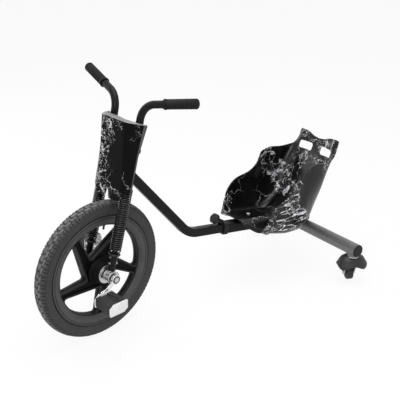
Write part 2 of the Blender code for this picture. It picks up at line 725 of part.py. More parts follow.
def make_shield(fork):
    """The moulded shield round the front of the legs, held to the crowns by two screws."""
    heights = sorted(SHIELD_SECTIONS)
    low, high = heights[0], heights[-1]
    sheet = [[Vector((p.x, p.y - FORK_OFFSET, height)) for p in shield_row(height)] for height in heights]
    lip = []
    for point in sheet[-1]:
        inward = Vector((-point.x, -point.y - FORK_OFFSET, 0)).normalized()
        lip.append(Vector((max(0, point.x + inward.x * SHIELD_LIP), point.y + inward.y * SHIELD_LIP,
                           high + 0.003)))
    sheet.append(lip)
    shape = bmesh.new()
    bmesh.ops.create_grid(shape, x_segments=len(sheet[0]) - 1, y_segments=len(sheet) - 1, size=1)
    shape.verts.ensure_lookup_table()
    order = sorted(shape.verts, key=lambda v: (round(v.co.y, 4), round(v.co.x, 4)))
    for vert, point in zip(order, [point for row in sheet for point in row]):
        vert.co = point
    bmesh.ops.recalc_face_normals(shape, faces=shape.faces)
    shape.normal_update()
    if sum(face.normal.y for face in shape.faces) > 0:
        bmesh.ops.reverse_faces(shape, faces=shape.faces)
    mesh = bpy.data.meshes.new("shield")
    shape.to_mesh(mesh)
    shape.free()
    shield = place("shield", mesh, gloss_plastic(), fork, Matrix())
    mirror = shield.modifiers.new("halves", "MIRROR")
    mirror.merge_threshold = 0.0001
    wall = shield.modifiers.new("wall", "SOLIDIFY")
    wall.thickness = SHIELD_WALL
    wall.offset = -1
    notch = rounded(((-NOTCH_HALF_WIDTH, low - 0.01, 0), (NOTCH_HALF_WIDTH, low - 0.01, 0),
                     (0.002, NOTCH_TOP, 0), (-0.002, NOTCH_TOP, 0)), 0, 1, closed=True)
    cut(shield, flat("notch", [notch], 0.06, gloss_plastic(), fork, move(0, -0.045, 0) @ FRONT))

    for level, bottom in (("lower", LOWER_CROWN_BOTTOM), ("upper", UPPER_CROWN_BOTTOM)):
        middle = bottom + CROWN_THICKNESS / 2
        low_face = shield_row(middle)[0].y - FORK_OFFSET
        slope = (shield_row(middle)[0].y - shield_row(middle + 0.01)[0].y) / 0.01
        line = move(0, low_face, middle) @ FRONT
        drill(shield, SCREW_RADIUS + GAP, -0.01, 0.01, fork, line, 12)
        seat = GAP + SCREW_HEAD * slope + 0.0006
        profile = ((0, seat + 0.002), (SCREW_HEAD * 0.6, seat + 0.002), (SCREW_HEAD, seat),
                   (SCREW_RADIUS, seat),
                   (SCREW_RADIUS, -0.010), (0, -0.010))
        turned(level + "_shield_screw", profile, 8, black_paint(), fork, line)


def make_fork(head):
    """Everything that turns with the handlebars."""
    fork = empty("steering", head, Matrix.Rotation(REST_STEER, 4, "Z"))
    make_steerer(fork)
    for name, side in SIDES.items():
        make_leg(name, side, fork)
    make_shield(fork)
    return fork


def window(middle):
    """One opening between two spokes: a wedge with rounded corners and an arc along the rim."""
    reach = RIM_INNER - WINDOW_LIP
    corners = [Vector((-WINDOW_ROOT * cos(middle), WINDOW_ROOT * sin(middle), 0))]
    steps = 4
    for step in range(steps + 1):
        angle = middle + WINDOW_HALF_ANGLE * (2 * step / steps - 1)
        corners.append(Vector((-reach * cos(angle), reach * sin(angle), 0)))
    radii = [WINDOW_FILLET, WINDOW_FILLET] + [0] * (steps - 1) + [WINDOW_FILLET]
    return rounded(corners, radii, 2, closed=True)


def make_rim(axle):
    """The moulded wheel with its spokes, and the valve stem."""
    edge, seat = RIM_HALF_WIDTH, RIM_HALF_WIDTH - FLANGE_WIDTH
    well = BEAD_RADIUS - WELL_DEPTH
    outer = [(RIM_EDGE, edge), (RIM_EDGE, seat), (BEAD_RADIUS, seat), (BEAD_RADIUS, seat - 0.006),
             (well, seat - 0.009)]
    inner = [(RIM_INNER + 0.0015, edge), (RIM_INNER, WEB_HALF_WIDTH),
             (HUB_RADIUS + 0.003, WEB_ROOT_HALF_WIDTH),
             (HUB_RADIUS - 0.003, HUB_HALF_WIDTH), (AXLE_RADIUS + GAP, HUB_HALF_WIDTH)]
    profile = outer + [(radius, -across) for radius, across in outer[::-1]]
    profile += [(radius, -across) for radius, across in inner] + inner[::-1]
    rim = turned("front_wheel", profile, 32, black_plastic(), axle, X_AXIS)
    for index in range(SPOKE_COUNT):
        middle = FIRST_SPOKE + (index + 0.5) * 2 * pi / SPOKE_COUNT
        cut(rim, flat("window", [window(middle)], 0.08, black_plastic(), axle, UPRIGHT))
    out = Vector((0, -cos(VALVE_ANGLE), sin(VALVE_ANGLE)))
    line = facing((0, 0, 0), out)
    drill(rim, VALVE_RADIUS + GAP, RIM_INNER - 0.005, BEAD_RADIUS + 0.01, axle, line, 12)
    top = well
    foot = top - VALVE_LENGTH
    profile = ((0, top), (VALVE_RADIUS, top), (VALVE_RADIUS, foot + 0.012),
               (VALVE_RADIUS * 0.75, foot + 0.010),
               (VALVE_RADIUS * 0.75, foot), (0, foot))
    turned("valve_stem", profile, 8, rubber(), axle, line)


def make_tyre(axle):
    """The tyre: an open section whose feet sit on the wheel inside its flanges."""
    crown, side = WHEEL_RADIUS, TYRE_HALF_WIDTH
    foot = RIM_HALF_WIDTH - FLANGE_WIDTH - GAP
    edge = RIM_EDGE + GAP
    outer = [(crown, 0.004), (crown - 0.004, 0.62 * side), (crown - 0.011, 0.90 * side),
             (crown - 0.022, side),
             (edge, RIM_HALF_WIDTH + 0.001), (edge, foot), (BEAD_RADIUS + GAP, foot)]
    inner = [(BEAD_RADIUS + GAP, foot - TYRE_WALL), (crown - 0.022, side - TYRE_WALL),
             (crown - 0.0065, 0.45 * side)]
    profile = outer[::-1] + [(radius, -across) for radius, across in outer]
    profile += [(radius, -across) for radius, across in inner] + inner[::-1]
    turned("tyre", profile, 32, rubber(), axle, X_AXIS)


def make_axle(axle):
    """Crank axle and the hub flanges that drive the wheel."""
    end = CRANK_OFFSET + CRANK_THICKNESS + 0.001
    rod("crank_axle", AXLE_RADIUS, -end, end, zinc(), axle, X_AXIS)
    start = HUB_HALF_WIDTH + GAP
    for name, side in SIDES.items():
        outline = circle(0, 0, HUB_FLANGE_RADIUS, 20)
        holes = [circle(0, 0, AXLE_RADIUS + GAP)]
        spread = HUB_FLANGE_RADIUS * 0.62
        for index in range(HUB_FLANGE_HOLES):
            angle = 2 * pi * index / HUB_FLANGE_HOLES
            holes.append(circle(spread * cos(angle), spread * sin(angle), 0.0032, 6))
        middle = side * (start + HUB_FLANGE_THICKNESS / 2)
        flat(name + "_hub_flange", [outline] + holes, HUB_FLANGE_THICKNESS, zinc(), axle,
             move(middle, 0, 0) @ UPRIGHT)


def make_pedal(name, side, axle):
    """One crank with its spindle, and the pedal that turns on it."""
    y, z = -side * CRANK_FORWARD, -side * CRANK_DROP
    outline = hull(((0, 0, CRANK_BOSS_RADIUS), (y, z, CRANK_EYE_RADIUS)))
    holes = [circle(0, 0, AXLE_RADIUS + GAP), circle(y, z, SPINDLE_RADIUS + GAP, 16)]
    middle = side * (CRANK_OFFSET + CRANK_THICKNESS / 2)
    flat(name + "_crank", [outline] + holes, CRANK_THICKNESS, chrome(), axle, move(middle, 0, 0) @ UPRIGHT)

    pivot = empty(name + "_pedal_pivot", axle, move(0, y, z) @ Matrix.Rotation(side * pi / 2, 4, "Y"))
    end = PEDAL_START + PEDAL_LENGTH
    tip = end - PEDAL_PLATE - 0.002
    collar = CRANK_OFFSET + CRANK_THICKNESS + GAP
    profile = ((0, tip), (SPINDLE_RADIUS, tip), (SPINDLE_RADIUS, PEDAL_START - GAP),
               (SPINDLE_COLLAR, PEDAL_START - GAP),
               (SPINDLE_COLLAR, collar), (SPINDLE_RADIUS, collar), (SPINDLE_RADIUS, CRANK_OFFSET), (0,
                       CRANK_OFFSET))
    turned(name + "_pedal_spindle", profile, 10, zinc(), pivot, Matrix())

    bore = SPINDLE_RADIUS + GAP
    profile = ((0, end - 0.001), (PEDAL_BARREL, end - 0.001), (PEDAL_BARREL, PEDAL_START + 0.001),
               (bore, PEDAL_START + 0.001), (bore, tip + 0.001), (0, tip + 0.001))
    cage = turned(name + "_pedal_cage", profile, 10, pale_plastic(), pivot, Matrix())
    # Seen along the spindle, the pedal's depth lies in Y of the pivot and its height in X
    shape = ((-PEDAL_HEIGHT / 2, -PEDAL_DEPTH / 2, 0), (PEDAL_HEIGHT / 2, -PEDAL_DEPTH / 2, 0),
             (PEDAL_HEIGHT / 2, PEDAL_DEPTH / 2, 0), (-PEDAL_HEIGHT / 2, PEDAL_DEPTH / 2, 0))
    for start in (PEDAL_START, end - PEDAL_PLATE):
        plate = flat("plate", [rounded(shape, 0.008, 2, closed=True)], PEDAL_PLATE, pale_plastic(), pivot,
                     move(0, 0, start + PEDAL_PLATE / 2))
        join(cage, plate)
    drill(cage, bore, PEDAL_START - 0.01, PEDAL_START + PEDAL_PLATE + 0.01, pivot, Matrix(), 10)

    low = (-PEDAL_HEIGHT / 2 + TREAD_INSET, -PEDAL_DEPTH / 2 + TREAD_INSET, PEDAL_START + PEDAL_PLATE + GAP)
    high = (PEDAL_HEIGHT / 2 - TREAD_INSET, PEDAL_DEPTH / 2 - TREAD_INSET, end - PEDAL_PLATE - GAP)
    tread = box(name + "_pedal_tread", low, high, rubber(), pivot, Matrix())
    drill(tread, PEDAL_BARREL + GAP, low[2] - 0.01, high[2] + 0.01, pivot, Matrix(), 10)
    for face in (-1, 1):
        for place_y in (-0.32, 0, 0.32):
            middle = place_y * PEDAL_DEPTH
            groove = box("groove", (face * high[0] - 0.003, middle - TREAD_GROOVE / 2, low[2] - 0.01),
                         (face * high[0] + 0.003, middle + TREAD_GROOVE / 2, high[2] + 0.01),
                         rubber(), pivot, Matrix())
            cut(tread, groove)


def make_front_wheel(fork):
    """The wheel and everything that turns with the cranks."""
    axle = empty("front_axle", fork, move(0, -FORK_OFFSET, 0) @ Matrix.Rotation(RAKE, 4, "X"))
    make_rim(axle)
    make_tyre(axle)
    make_axle(axle)
    for name, side in SIDES.items():
        make_pedal(name, side, axle)


def square_piece(name, side, corner, start, end, finish, run):
    """A solid square bar with rounded corners along the rear run."""
    return flat(name, [square(side, corner)], end - start, finish, run, move(0, (start + end) / 2, 0) @ BACK)


def make_sleeve(run):
    """The square sleeve, and the collar with a slanted boss for the clamp on its front end."""
    end = SLEEVE_START + SLEEVE_LENGTH
    sleeve = square_piece("sleeve", SLEEVE_SIDE, SLEEVE_CORNER, SLEEVE_START, end, black_paint(), run)
    hole = TUBE_SIDE + 2 * GAP
    cut(sleeve, square_piece("bore", hole, TUBE_CORNER, SLEEVE_START - 0.01, end + 0.01, black_paint(), run))

    start = SLEEVE_START - END_COLLAR_LIP
    end = start + END_COLLAR_LENGTH
    outer = SLEEVE_SIDE + 2 * GAP + 2 * END_COLLAR_WALL
    collar = square_piece("sleeve_collar", outer, SLEEVE_CORNER + END_COLLAR_WALL, start, end,
                          black_plastic(), run)
    stud = move(0, KNOB_PLACE, 0) @ Matrix.Rotation(KNOB_TILT, 4, "X")
    join(collar, rod("boss", KNOB_BOSS_RADIUS, 0.036, KNOB_BOSS_TOP, black_plastic(), run, stud))
    pocket = SLEEVE_START - GAP
    cut(collar, square_piece("bore", hole, TUBE_CORNER, start - 0.05, end + 0.01, black_plastic(), run))
    cut(collar, square_piece("bore", SLEEVE_SIDE + 2 * GAP, SLEEVE_CORNER, pocket, end + 0.03,
                             black_plastic(), run))
    drill(collar, KNOB_STUD + GAP, 0.0, KNOB_BOSS_TOP + 0.01, run, stud, 12)
    make_knob(run, stud)


def make_knob(run, stud):
    """The lobed clamp knob; its stud goes through the boss and presses on the main tube."""
    pivot = empty("knob_pivot", run, stud)
    lobes = [Vector(((KNOB_RADIUS - 0.0014 * (1 - cos(KNOB_LOBES * angle))) * cos(angle),
                     (KNOB_RADIUS - 0.0014 * (1 - cos(KNOB_LOBES * angle))) * sin(angle), 0))
             for angle in [2 * pi * i / (4 * KNOB_LOBES) for i in range(4 * KNOB_LOBES)]]
    base = KNOB_BOSS_TOP + GAP
    knob = flat("clamp_knob", [lobes], KNOB_HEIGHT, black_plastic(), pivot,
                move(0, 0, base + KNOB_HEIGHT / 2))
    tip = TUBE_SIDE / 2 / cos(KNOB_TILT) + KNOB_STUD * tan(KNOB_TILT) + GAP
    join(knob, rod("stud", KNOB_STUD, tip, base + 0.004, black_plastic(), pivot, Matrix(), 12))


def make_cross_tube(run):
    """The rear cross tube with an upright caster housing at each end."""
    place_z = -(SLEEVE_SIDE / 2 + GAP + CROSS_RADIUS)
    carriage = empty("cross_axis", run, move(0, CROSS_PLACE, place_z) @ Matrix.Rotation(RUN_SLOPE, 4, "X"))
    bar = rod("rear_cross_tube", CROSS_RADIUS, -HOUSING_X + 0.006, HOUSING_X - 0.006, black_paint(), carriage,
              X_AXIS, 14)
    for side in SIDES.values():
        spot = move(side * HOUSING_X, 0, 0)
        profile = ((0, HOUSING_TOP), (HOUSING_RADIUS * 0.7, HOUSING_TOP),
                   (HOUSING_RADIUS, HOUSING_TOP - 0.006),
                   (HOUSING_RADIUS, -HOUSING_BOTTOM), (0, -HOUSING_BOTTOM))
        join(bar, turned("housing", profile, 14, black_paint(), carriage, spot))
    hollow = HOUSING_X - HOUSING_RADIUS - 0.002
    drill(bar, CROSS_RADIUS - CROSS_WALL, -hollow, hollow, carriage, X_AXIS, 12)
    drill(bar, CROSS_DRAIN, -CROSS_RADIUS - 0.01, 0, carriage, Matrix(), 8)
    for side in SIDES.values():
        spot = move(side * HOUSING_X, 0, 0)
        drill(bar, KINGPIN_RADIUS + GAP, -HOUSING_BOTTOM - 0.01, -HOUSING_BOTTOM + KINGPIN_LENGTH + 0.001,
              carriage,
              spot, 12)
    return carriage


def make_caster(name, side, carriage):
    """One swivelling caster: fork with kingpin and flange, hood, wheel and pin."""
    swivel = empty(name + "_swivel", carriage,
                   move(side * HOUSING_X, 0, -HOUSING_BOTTOM) @ Matrix.Rotation(side * CASTER_TURN, 4, "Z"))
    bpy.context.view_layer.update()
    axle_z = CASTER_WHEEL_RADIUS - swivel.matrix_world.translation.z
    flange_bottom = -GAP - CASTER_FLANGE
    hood_top = flange_bottom - GAP
    neck_top = hood_top - HOOD_WALL - GAP
    plate_top = -CASTER_PLATE_DROP
    plate_bottom = plate_top - CHEEK_THICKNESS
    profile = ((0, KINGPIN_LENGTH), (KINGPIN_RADIUS, KINGPIN_LENGTH), (KINGPIN_RADIUS, -GAP),
               (CASTER_FLANGE_RADIUS, -GAP), (CASTER_FLANGE_RADIUS, flange_bottom), (KINGPIN_RADIUS,
                                                                                     flange_bottom),
               (KINGPIN_RADIUS, neck_top), (CASTER_NECK_RADIUS, neck_top), (CASTER_NECK_RADIUS,
                                                                            plate_bottom + 0.001),
               (0, plate_bottom + 0.001))
    fork = turned(name + "_caster_fork", profile, 12, zinc(), swivel, Matrix())
    outer = CHEEK_INNER + CHEEK_THICKNESS
    front, back = -KINGPIN_RADIUS, CASTER_TRAIL
    join(fork, box("plate", (-outer, front, plate_bottom), (outer, back, plate_top), zinc(), swivel,
                   Matrix()))
    edge = plate_top - 0.0032
    outline = hull(((front + 0.0032, edge, 0.003), (back - 0.0032, edge, 0.003),
                    (CASTER_TRAIL, axle_z, 0.008)), 10)
    for cheek in (-1, 1):
        middle = cheek * (CHEEK_INNER + CHEEK_THICKNESS / 2)
        join(fork, flat("cheek", [outline], CHEEK_THICKNESS, zinc(), swivel, move(middle, 0, 0) @ UPRIGHT))
    pin = move(0, CASTER_TRAIL, axle_z) @ X_AXIS
    drill(fork, CASTER_PIN + GAP, -0.03, 0.03, swivel, pin, 10)

    profile = ((0, 0), (HOOD_FLAT, 0), (HOOD_FLAT + 0.010, -0.007), (HOOD_RADIUS - 0.005, -0.020),
               (HOOD_RADIUS, -HOOD_DEPTH + 0.006), (HOOD_RADIUS - 0.002, -HOOD_DEPTH))
    profile = [(radius * HOOD_ACROSS, height) for radius, height in profile]
    hood = turned(name + "_caster_hood", profile, 16, gloss_plastic(), swivel,
                  move(0, HOOD_CENTRE, hood_top) @ Matrix.Diagonal((1, HOOD_ALONG / HOOD_ACROSS, 1, 1)))
    wall = hood.modifiers.new("wall", "SOLIDIFY")
    wall.thickness = HOOD_WALL
    wall.offset = -1
    drill(hood, KINGPIN_RADIUS + GAP, -0.02, 0.02, swivel, move(0, 0, hood_top), 10)

    head = outer + GAP
    profile = ((0, head + 0.0025), (CASTER_PIN_HEAD, head + 0.0025), (CASTER_PIN_HEAD, head),
               (CASTER_PIN, head),
               (CASTER_PIN, -head), (CASTER_PIN_HEAD, -head), (CASTER_PIN_HEAD, -head - 0.0025), (0,
                       -head - 0.0025))
    turned(name + "_caster_pin", profile, 8, zinc(), swivel, pin)
    spin = empty(name + "_caster_axle", swivel, pin)
    radius, half = CASTER_WHEEL_RADIUS, CASTER_WHEEL_HALF_WIDTH
    outer_half = [(0.0095, CASTER_HUB_HALF_WIDTH), (0.0095, half - 0.001), (radius - 0.006, half - 0.0015),
                  (radius - 0.002, half - 0.0005), (radius, half - 0.005)]
    profile = outer_half + [(r, -a) for r, a in outer_half[::-1]]
    profile += [(CASTER_PIN + GAP, -CASTER_HUB_HALF_WIDTH), (CASTER_PIN + GAP, CASTER_HUB_HALF_WIDTH)]
    turned(name + "_caster_wheel", profile, 16, rubber(), spin, Matrix())


def between(values, rows):
    """Smooth values between the given ones that never overshoot them."""
    steps = [b - a for a, b in zip(values, values[1:])]
    slopes = [steps[0]]
    for before, after in zip(steps, steps[1:]):
        slopes.append(0 if before * after <= 0 else 2 * before * after / (before + after))
    slopes.append(steps[-1])
    result = []
    for index, step in enumerate(steps):
        for row in range(rows):
            t = row / rows
            start, end = values[index], values[index + 1]
            result.append(start * (1 + 2 * t) * (1 - t) ** 2 + end * t * t * (3 - 2 * t)
                          + slopes[index] * t * (1 - t) ** 2 - slopes[index + 1] * t * t * (1 - t))
    result.append(values[-1])
    return result


def seat_control():
    """Control points of half the seat: one row a station, from the middle out to the rim."""
    corner = tube_corner()
    lift = (SLEEVE_TOP + BRACKET_THICKNESS + 2 * GAP + SEAT_WALL) / cos(RUN_SLOPE)
    rows = []
    for station in SEAT_STATIONS:
        middle, outer = station[0], [Vector(point) for point in station[1:]]
        x, y, z = middle
        if z is None:
            z = corner.z - (y - corner.y) * tan(RUN_SLOPE) + lift
        ridge = min(RIDGE_HALF_WIDTH, outer[0].x / 2)
        rows.append([Vector((x, y, z)), Vector((ridge, y, z))] + outer)
    for rise, point in zip((0, 0.3, 0.9, 1.0, 0.6, 0), rows[-1]):
        point.z += BACK_CREST * rise
    return rows


def make_seat(root, run):
    """The bucket seat, the plate that carries it and its two bolts."""
    control = seat_control()
    stations = []
    for column in range(len(control[0])):
        axes = [between([row[column][axis] for row in control], SEAT_ROWS) for axis in range(3)]
        stations.append([Vector(values) for values in zip(*axes)])
    sheet = []
    for row in zip(*stations):
        axes = [between([point[axis] for point in row], SEAT_COLUMNS) for axis in range(3)]
        sheet.append([Vector(values) for values in zip(*axes)])
    shape = bmesh.new()
    bmesh.ops.create_grid(shape, x_segments=len(sheet[0]) - 1, y_segments=len(sheet) - 1, size=1)
    order = sorted(shape.verts, key=lambda v: (round(v.co.y, 5), round(v.co.x, 5)))
    for vert, point in zip(order, [point for row in sheet for point in row]):
        vert.co = point
    shape.normal_update()
    if sum(face.normal.z for face in shape.faces) < 0:
        bmesh.ops.reverse_faces(shape, faces=shape.faces)
    mesh = bpy.data.meshes.new("seat")
    shape.to_mesh(mesh)
    shape.free()
    smooth(mesh)
    seat = place("seat", mesh, gloss_plastic(), root, Matrix())
    mirror = seat.modifiers.new("halves", "MIRROR")
    mirror.merge_threshold = 0.0001
    wall = seat.modifiers.new("wall", "SOLIDIFY")
    wall.thickness = SEAT_WALL
    wall.offset = -1
    back_y = SEAT_STATIONS[-2][0][1]
    for side in SIDES.values():
        low_x, high_x = HAND_HOLE_X - HAND_HOLE_WIDTH / 2, HAND_HOLE_X + HAND_HOLE_WIDTH / 2
        low_z, high_z = -HAND_HOLE_HEIGHT / 2, HAND_HOLE_HEIGHT / 2
        shape = ((low_x, low_z, 0), (high_x, low_z, 0), (high_x, high_z, 0), (low_x, high_z, 0))
        outline = [Vector((side * p.x, p.y, 0)) for p in rounded(shape, 0.007, 3, closed=True)]
        cut(seat, flat("hand_hole", [outline[::side]], 0.10, gloss_plastic(), root,
                       move(0, back_y, HAND_HOLE_Z) @ FRONT))

    low = (-BRACKET_HALF_WIDTH, BRACKET_START, SLEEVE_TOP + GAP)
    top = SLEEVE_TOP + GAP + BRACKET_THICKNESS
    high = (BRACKET_HALF_WIDTH, BRACKET_START + BRACKET_LENGTH, top)
    bracket = box("seat_bracket", low, high, black_paint(), run, Matrix())
    flat_end = max(station[0][1] for station in SEAT_STATIONS if station[0][2] is None)
    rear_bolt = (flat_end - BEND_CORNER_Y) / cos(RUN_SLOPE) - SEAT_BOLT_TO_RISE
    for name, spot in (("front", BRACKET_START + SEAT_BOLT_INSET), ("rear", rear_bolt)):
        line = move(0, spot, 0)
        for target in (bracket, seat):
            drill(target, 0.003 + GAP, SLEEVE_TOP + 0.003, top + 0.02, run, line, 12)
        face = top + GAP + SEAT_WALL + GAP
        profile = ((0, face + 0.003), (0.0045, face + 0.003), (0.006, face + 0.0015), (0.006, face),
                   (0.003, face),
                   (0.003, SLEEVE_TOP + 0.0035), (0, SLEEVE_TOP + 0.0035))
        turned(name + "_seat_bolt", profile, 8, zinc(), run, line)


def make_rear(root):
    """Everything that slides along the main tube's rear run."""
    run = empty("rear_run", root, move(*tube_corner()) @ Matrix.Rotation(-RUN_SLOPE, 4, "X"))
    make_sleeve(run)
    make_seat(root, run)
    carriage = make_cross_tube(run)
    for name, side in SIDES.items():
        make_caster(name, side, carriage)


def settle(root):
    """Move the object so that the middle of its footprint is the world origin."""
    bpy.context.view_layer.update()
    depsgraph = bpy.context.evaluated_depsgraph_get()
    points = []
    for obj in PARTS.objects:
        if obj.type != "MESH":
            continue
        evaluated = obj.evaluated_get(depsgraph)
        mesh = evaluated.to_mesh()
        points += [obj.matrix_world @ vert.co for vert in mesh.vertices]
        evaluated.to_mesh_clear()
    low = Vector([min(point[axis] for point in points) for axis in range(3)])
    high = Vector([max(point[axis] for point in points) for axis in range(3)])
    root.location = (-(low.x + high.x) / 2, -(low.y + high.y) / 2, -low.z)
    bpy.context.view_layer.update()
    print("size in mm:", [round(1000 * value, 1) for value in high - low])


def main():
    start_scene()
    root = empty("scooter", None, Matrix())
    head = make_frame(root)
    fork = make_fork(head)
    make_front_wheel(fork)
    make_rear(root)
    settle(root)


main()
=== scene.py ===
import json
from math import atan2, cos, hypot, pi, radians, sin, tan

import bmesh
import bpy
from mathutils import Matrix, Vector


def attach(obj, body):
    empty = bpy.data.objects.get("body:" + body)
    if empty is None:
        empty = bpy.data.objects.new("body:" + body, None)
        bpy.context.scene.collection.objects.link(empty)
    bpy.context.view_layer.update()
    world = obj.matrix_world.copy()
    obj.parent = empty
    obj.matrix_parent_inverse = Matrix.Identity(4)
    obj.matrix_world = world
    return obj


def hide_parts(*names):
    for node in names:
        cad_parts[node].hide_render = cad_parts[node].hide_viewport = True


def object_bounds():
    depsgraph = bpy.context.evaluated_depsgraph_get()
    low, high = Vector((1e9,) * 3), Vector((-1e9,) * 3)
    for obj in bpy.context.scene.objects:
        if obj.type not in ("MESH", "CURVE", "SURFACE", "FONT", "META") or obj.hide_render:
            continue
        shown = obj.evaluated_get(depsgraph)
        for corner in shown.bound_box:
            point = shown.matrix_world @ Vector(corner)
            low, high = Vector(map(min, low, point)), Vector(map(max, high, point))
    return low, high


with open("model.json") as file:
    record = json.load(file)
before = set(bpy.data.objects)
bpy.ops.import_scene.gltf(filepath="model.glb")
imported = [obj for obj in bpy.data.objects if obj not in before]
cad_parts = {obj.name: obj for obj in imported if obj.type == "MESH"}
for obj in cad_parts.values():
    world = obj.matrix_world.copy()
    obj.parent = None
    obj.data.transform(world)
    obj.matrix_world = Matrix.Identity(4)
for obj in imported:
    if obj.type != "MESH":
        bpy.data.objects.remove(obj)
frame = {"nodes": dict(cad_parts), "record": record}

CAD_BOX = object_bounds()
GAP = 0.0003
SIDES = {"left": 1, "right": -1}
WHEEL_BODY = "wheel_and_cranks"


def from_mm(value):
    """Millimetres, in nested tuples, as metres."""
    if isinstance(value, tuple):
        return tuple(from_mm(part) for part in value)
    return None if value is None else value / 1000


# Sizes of the object in metres, most of them as in the part's source

WHEEL_RADIUS, TYRE_HALF_WIDTH, TYRE_WALL, BEAD_RADIUS = 0.203, 0.024, 0.004, 0.1605
RIM_EDGE, RIM_HALF_WIDTH, FLANGE_WIDTH, RIM_INNER, WELL_DEPTH = 0.1635, 0.0195, 0.003, 0.137, 0.0085
WEB_HALF_WIDTH, WEB_ROOT_HALF_WIDTH, HUB_RADIUS, HUB_HALF_WIDTH = 0.0105, 0.0140, 0.034, 0.036
SPOKES, FIRST_SPOKE, WINDOW_HALF_ANGLE, ROOT_TURN = 5, radians(57), radians(31.3), radians(-39)
WINDOW_LIP, WINDOW_ROOT, WINDOW_FILLET, WINDOW_CORNER, WALL_WIDTH = 0.003, 0.0515, 0.006, 0.007, 0.0052
PIP_ANGLES, PIP_REACH = (146, 187, 222, 262, 300, 335, 22, 60), 0.1350
GROOVE_DEPTH, TREAD_PITCHES, TREAD_TAPER = 0.0042, 54, 0.0006
AXLE_RADIUS, HUB_FLANGE_RADIUS, HUB_FLANGE_THICKNESS, FLANGE_HOLE = 0.0075, 0.027, 0.003, 0.0032
CRANK_THICKNESS, CRANK_OFFSET, CRANK_FORWARD, CRANK_DROP = 0.008, 0.0735, 0.0525, 0.0325
CRANK_BOSS_RADIUS, CRANK_EYE_RADIUS, SPINDLE_RADIUS = 0.014, 0.0090, 0.0045
PEDAL_START, PEDAL_LENGTH, PEDAL_DEPTH, PEDAL_HEIGHT = 0.0895, 0.068, 0.060, 0.034
PEDAL_PLATE, PEDAL_BARREL, TREAD_INSET, PEDAL_RIBS, RIB_HEIGHT = 0.003, 0.0085, 0.002, 7, 0.0016
RAKE, REST_STEER, FORK_OFFSET, LEG_SPACING = radians(15.3), radians(8), 0.0231, 0.053
LEG_RADIUS, LEG_WALL, LEG_BOTTOM, LEG_WAIST = 0.0105, 0.0016, 0.0172, 0.0022
CARRIER_RADIUS, CARRIER_INNER, CARRIER_OUTER = 0.0165, 0.0425, 0.0700
CARRIER_LIP, CARRIER_LIP_WIDTH, CARRIER_PLUG_TOP = 0.0195, 0.0035, 0.066
BEARING_RADIUS, BEARING_WIDTH = 0.011, 0.0125
COLLAR_BOTTOM, COLLAR_HEIGHT, COLLAR_RADIUS = 0.0625, 0.0045, 0.0168
COIL_RADIUS, WIRE_RADIUS, COIL_TURNS, POINTS_A_TURN = 0.0146, 0.0020, 27, 20
CROWN_THICKNESS, LOWER_CROWN_BOTTOM, CROWN_LEG_RADIUS = 0.010, 0.2395, 0.0160
CROWN_STEERER_RADIUS, CROWN_NOSE_RADIUS = 0.021, 0.009
HEAD_TUBE_RADIUS, HEAD_TUBE_WALL, HEAD_TUBE_LENGTH = 0.018, 0.003, 0.0835
CUP_HEIGHT, CUP_RADIUS, STEERER_RADIUS = 0.009, 0.0205, 0.0127
LEG_TOP_RISE, BAR_RADIUS, BAR_CORNER_HEIGHT, BAR_CORNER_FORWARD = 0.003, 0.0105, 0.480, 0.0040
BAR_STRAIGHT, BAR_BEND, BAR_END = 0.012, 0.050, Vector((0.222, -0.0041, 0.525))
GRIP_LENGTH, GRIP_RADIUS, GRIP_RING, GRIP_CAP, GRIP_DOME = 0.1025, 0.0133, 0.0143, 0.003, 0.0035
SHIELD_WALL, NOTCH_TOP, NOTCH_HALF_WIDTH, SCREW_HOLE = 0.0025, 0.236, 0.012, 0.0025
# Left halves of the shield's sections by height, each point (x, y) in millimetres
SHIELD_SECTIONS = {
    0.212: ((0, -21.5), (30, -22), (48, -21.2), (65.5, -14.2), (71.2, -5), (71.8, 1)),
    0.275: ((0, -24), (30, -25), (50, -24.5), (66, -15), (72.5, -5), (73.5, -1)),
    0.345: ((0, -33.5), (30, -34.5), (48, -34), (65, -19), (73, -7), (74.5, -3)),
    0.430: ((0, -49), (30, -51), (46, -50), (65, -29), (77.5, -7), (79.5, 3)),
}
SHIELD_HEIGHTS = sorted(SHIELD_SECTIONS)
# How far the bottom edge rises, and the lip reaches inwards, from the middle to the side
SHIELD_CUT = (0, 0, 0.003, 0.022, 0.024, 0.024)
LIP_REACH = (0.020, 0.020, 0.017, 0.009, 0.005, 0.003)
TUBE_SIDE, TUBE_CORNER, HEAD_JOINT, WELD_RADIUS = 0.0265, 0.0045, 0.2906, 0.0019
TUBE_SLOPE, RUN_SLOPE = radians(50.45), radians(7.9)
BEND_CORNER_Y, TUBE_BEND, TUBE_END = 0.3087, 0.080, 0.350
SLEEVE_START, SLEEVE_LENGTH, SLEEVE_WALL, SLEEVE_CORNER = 0.132, 0.359, 0.0033, 0.006
END_COLLAR_LENGTH, END_COLLAR_WALL, END_COLLAR_LIP = 0.016, 0.0022, 0.006
KNOB_TILT, KNOB_PLACE, KNOB_BOSS_RADIUS, KNOB_BOSS_TOP = radians(62), 0.1596, 0.0080, 0.0625
KNOB_RADIUS, KNOB_HEIGHT, KNOB_LOBES, STUD_RADIUS = 0.0165, 0.016, 6, 0.003
CROSS_PLACE, CROSS_RADIUS = 0.4849, 0.0203
SEAT_WALL, BRACKET_THICKNESS, RIDGE_HALF_WIDTH, SEAT_ROWS, SEAT_COLUMNS = 0.004, 0.010, 0.033, 5, 6
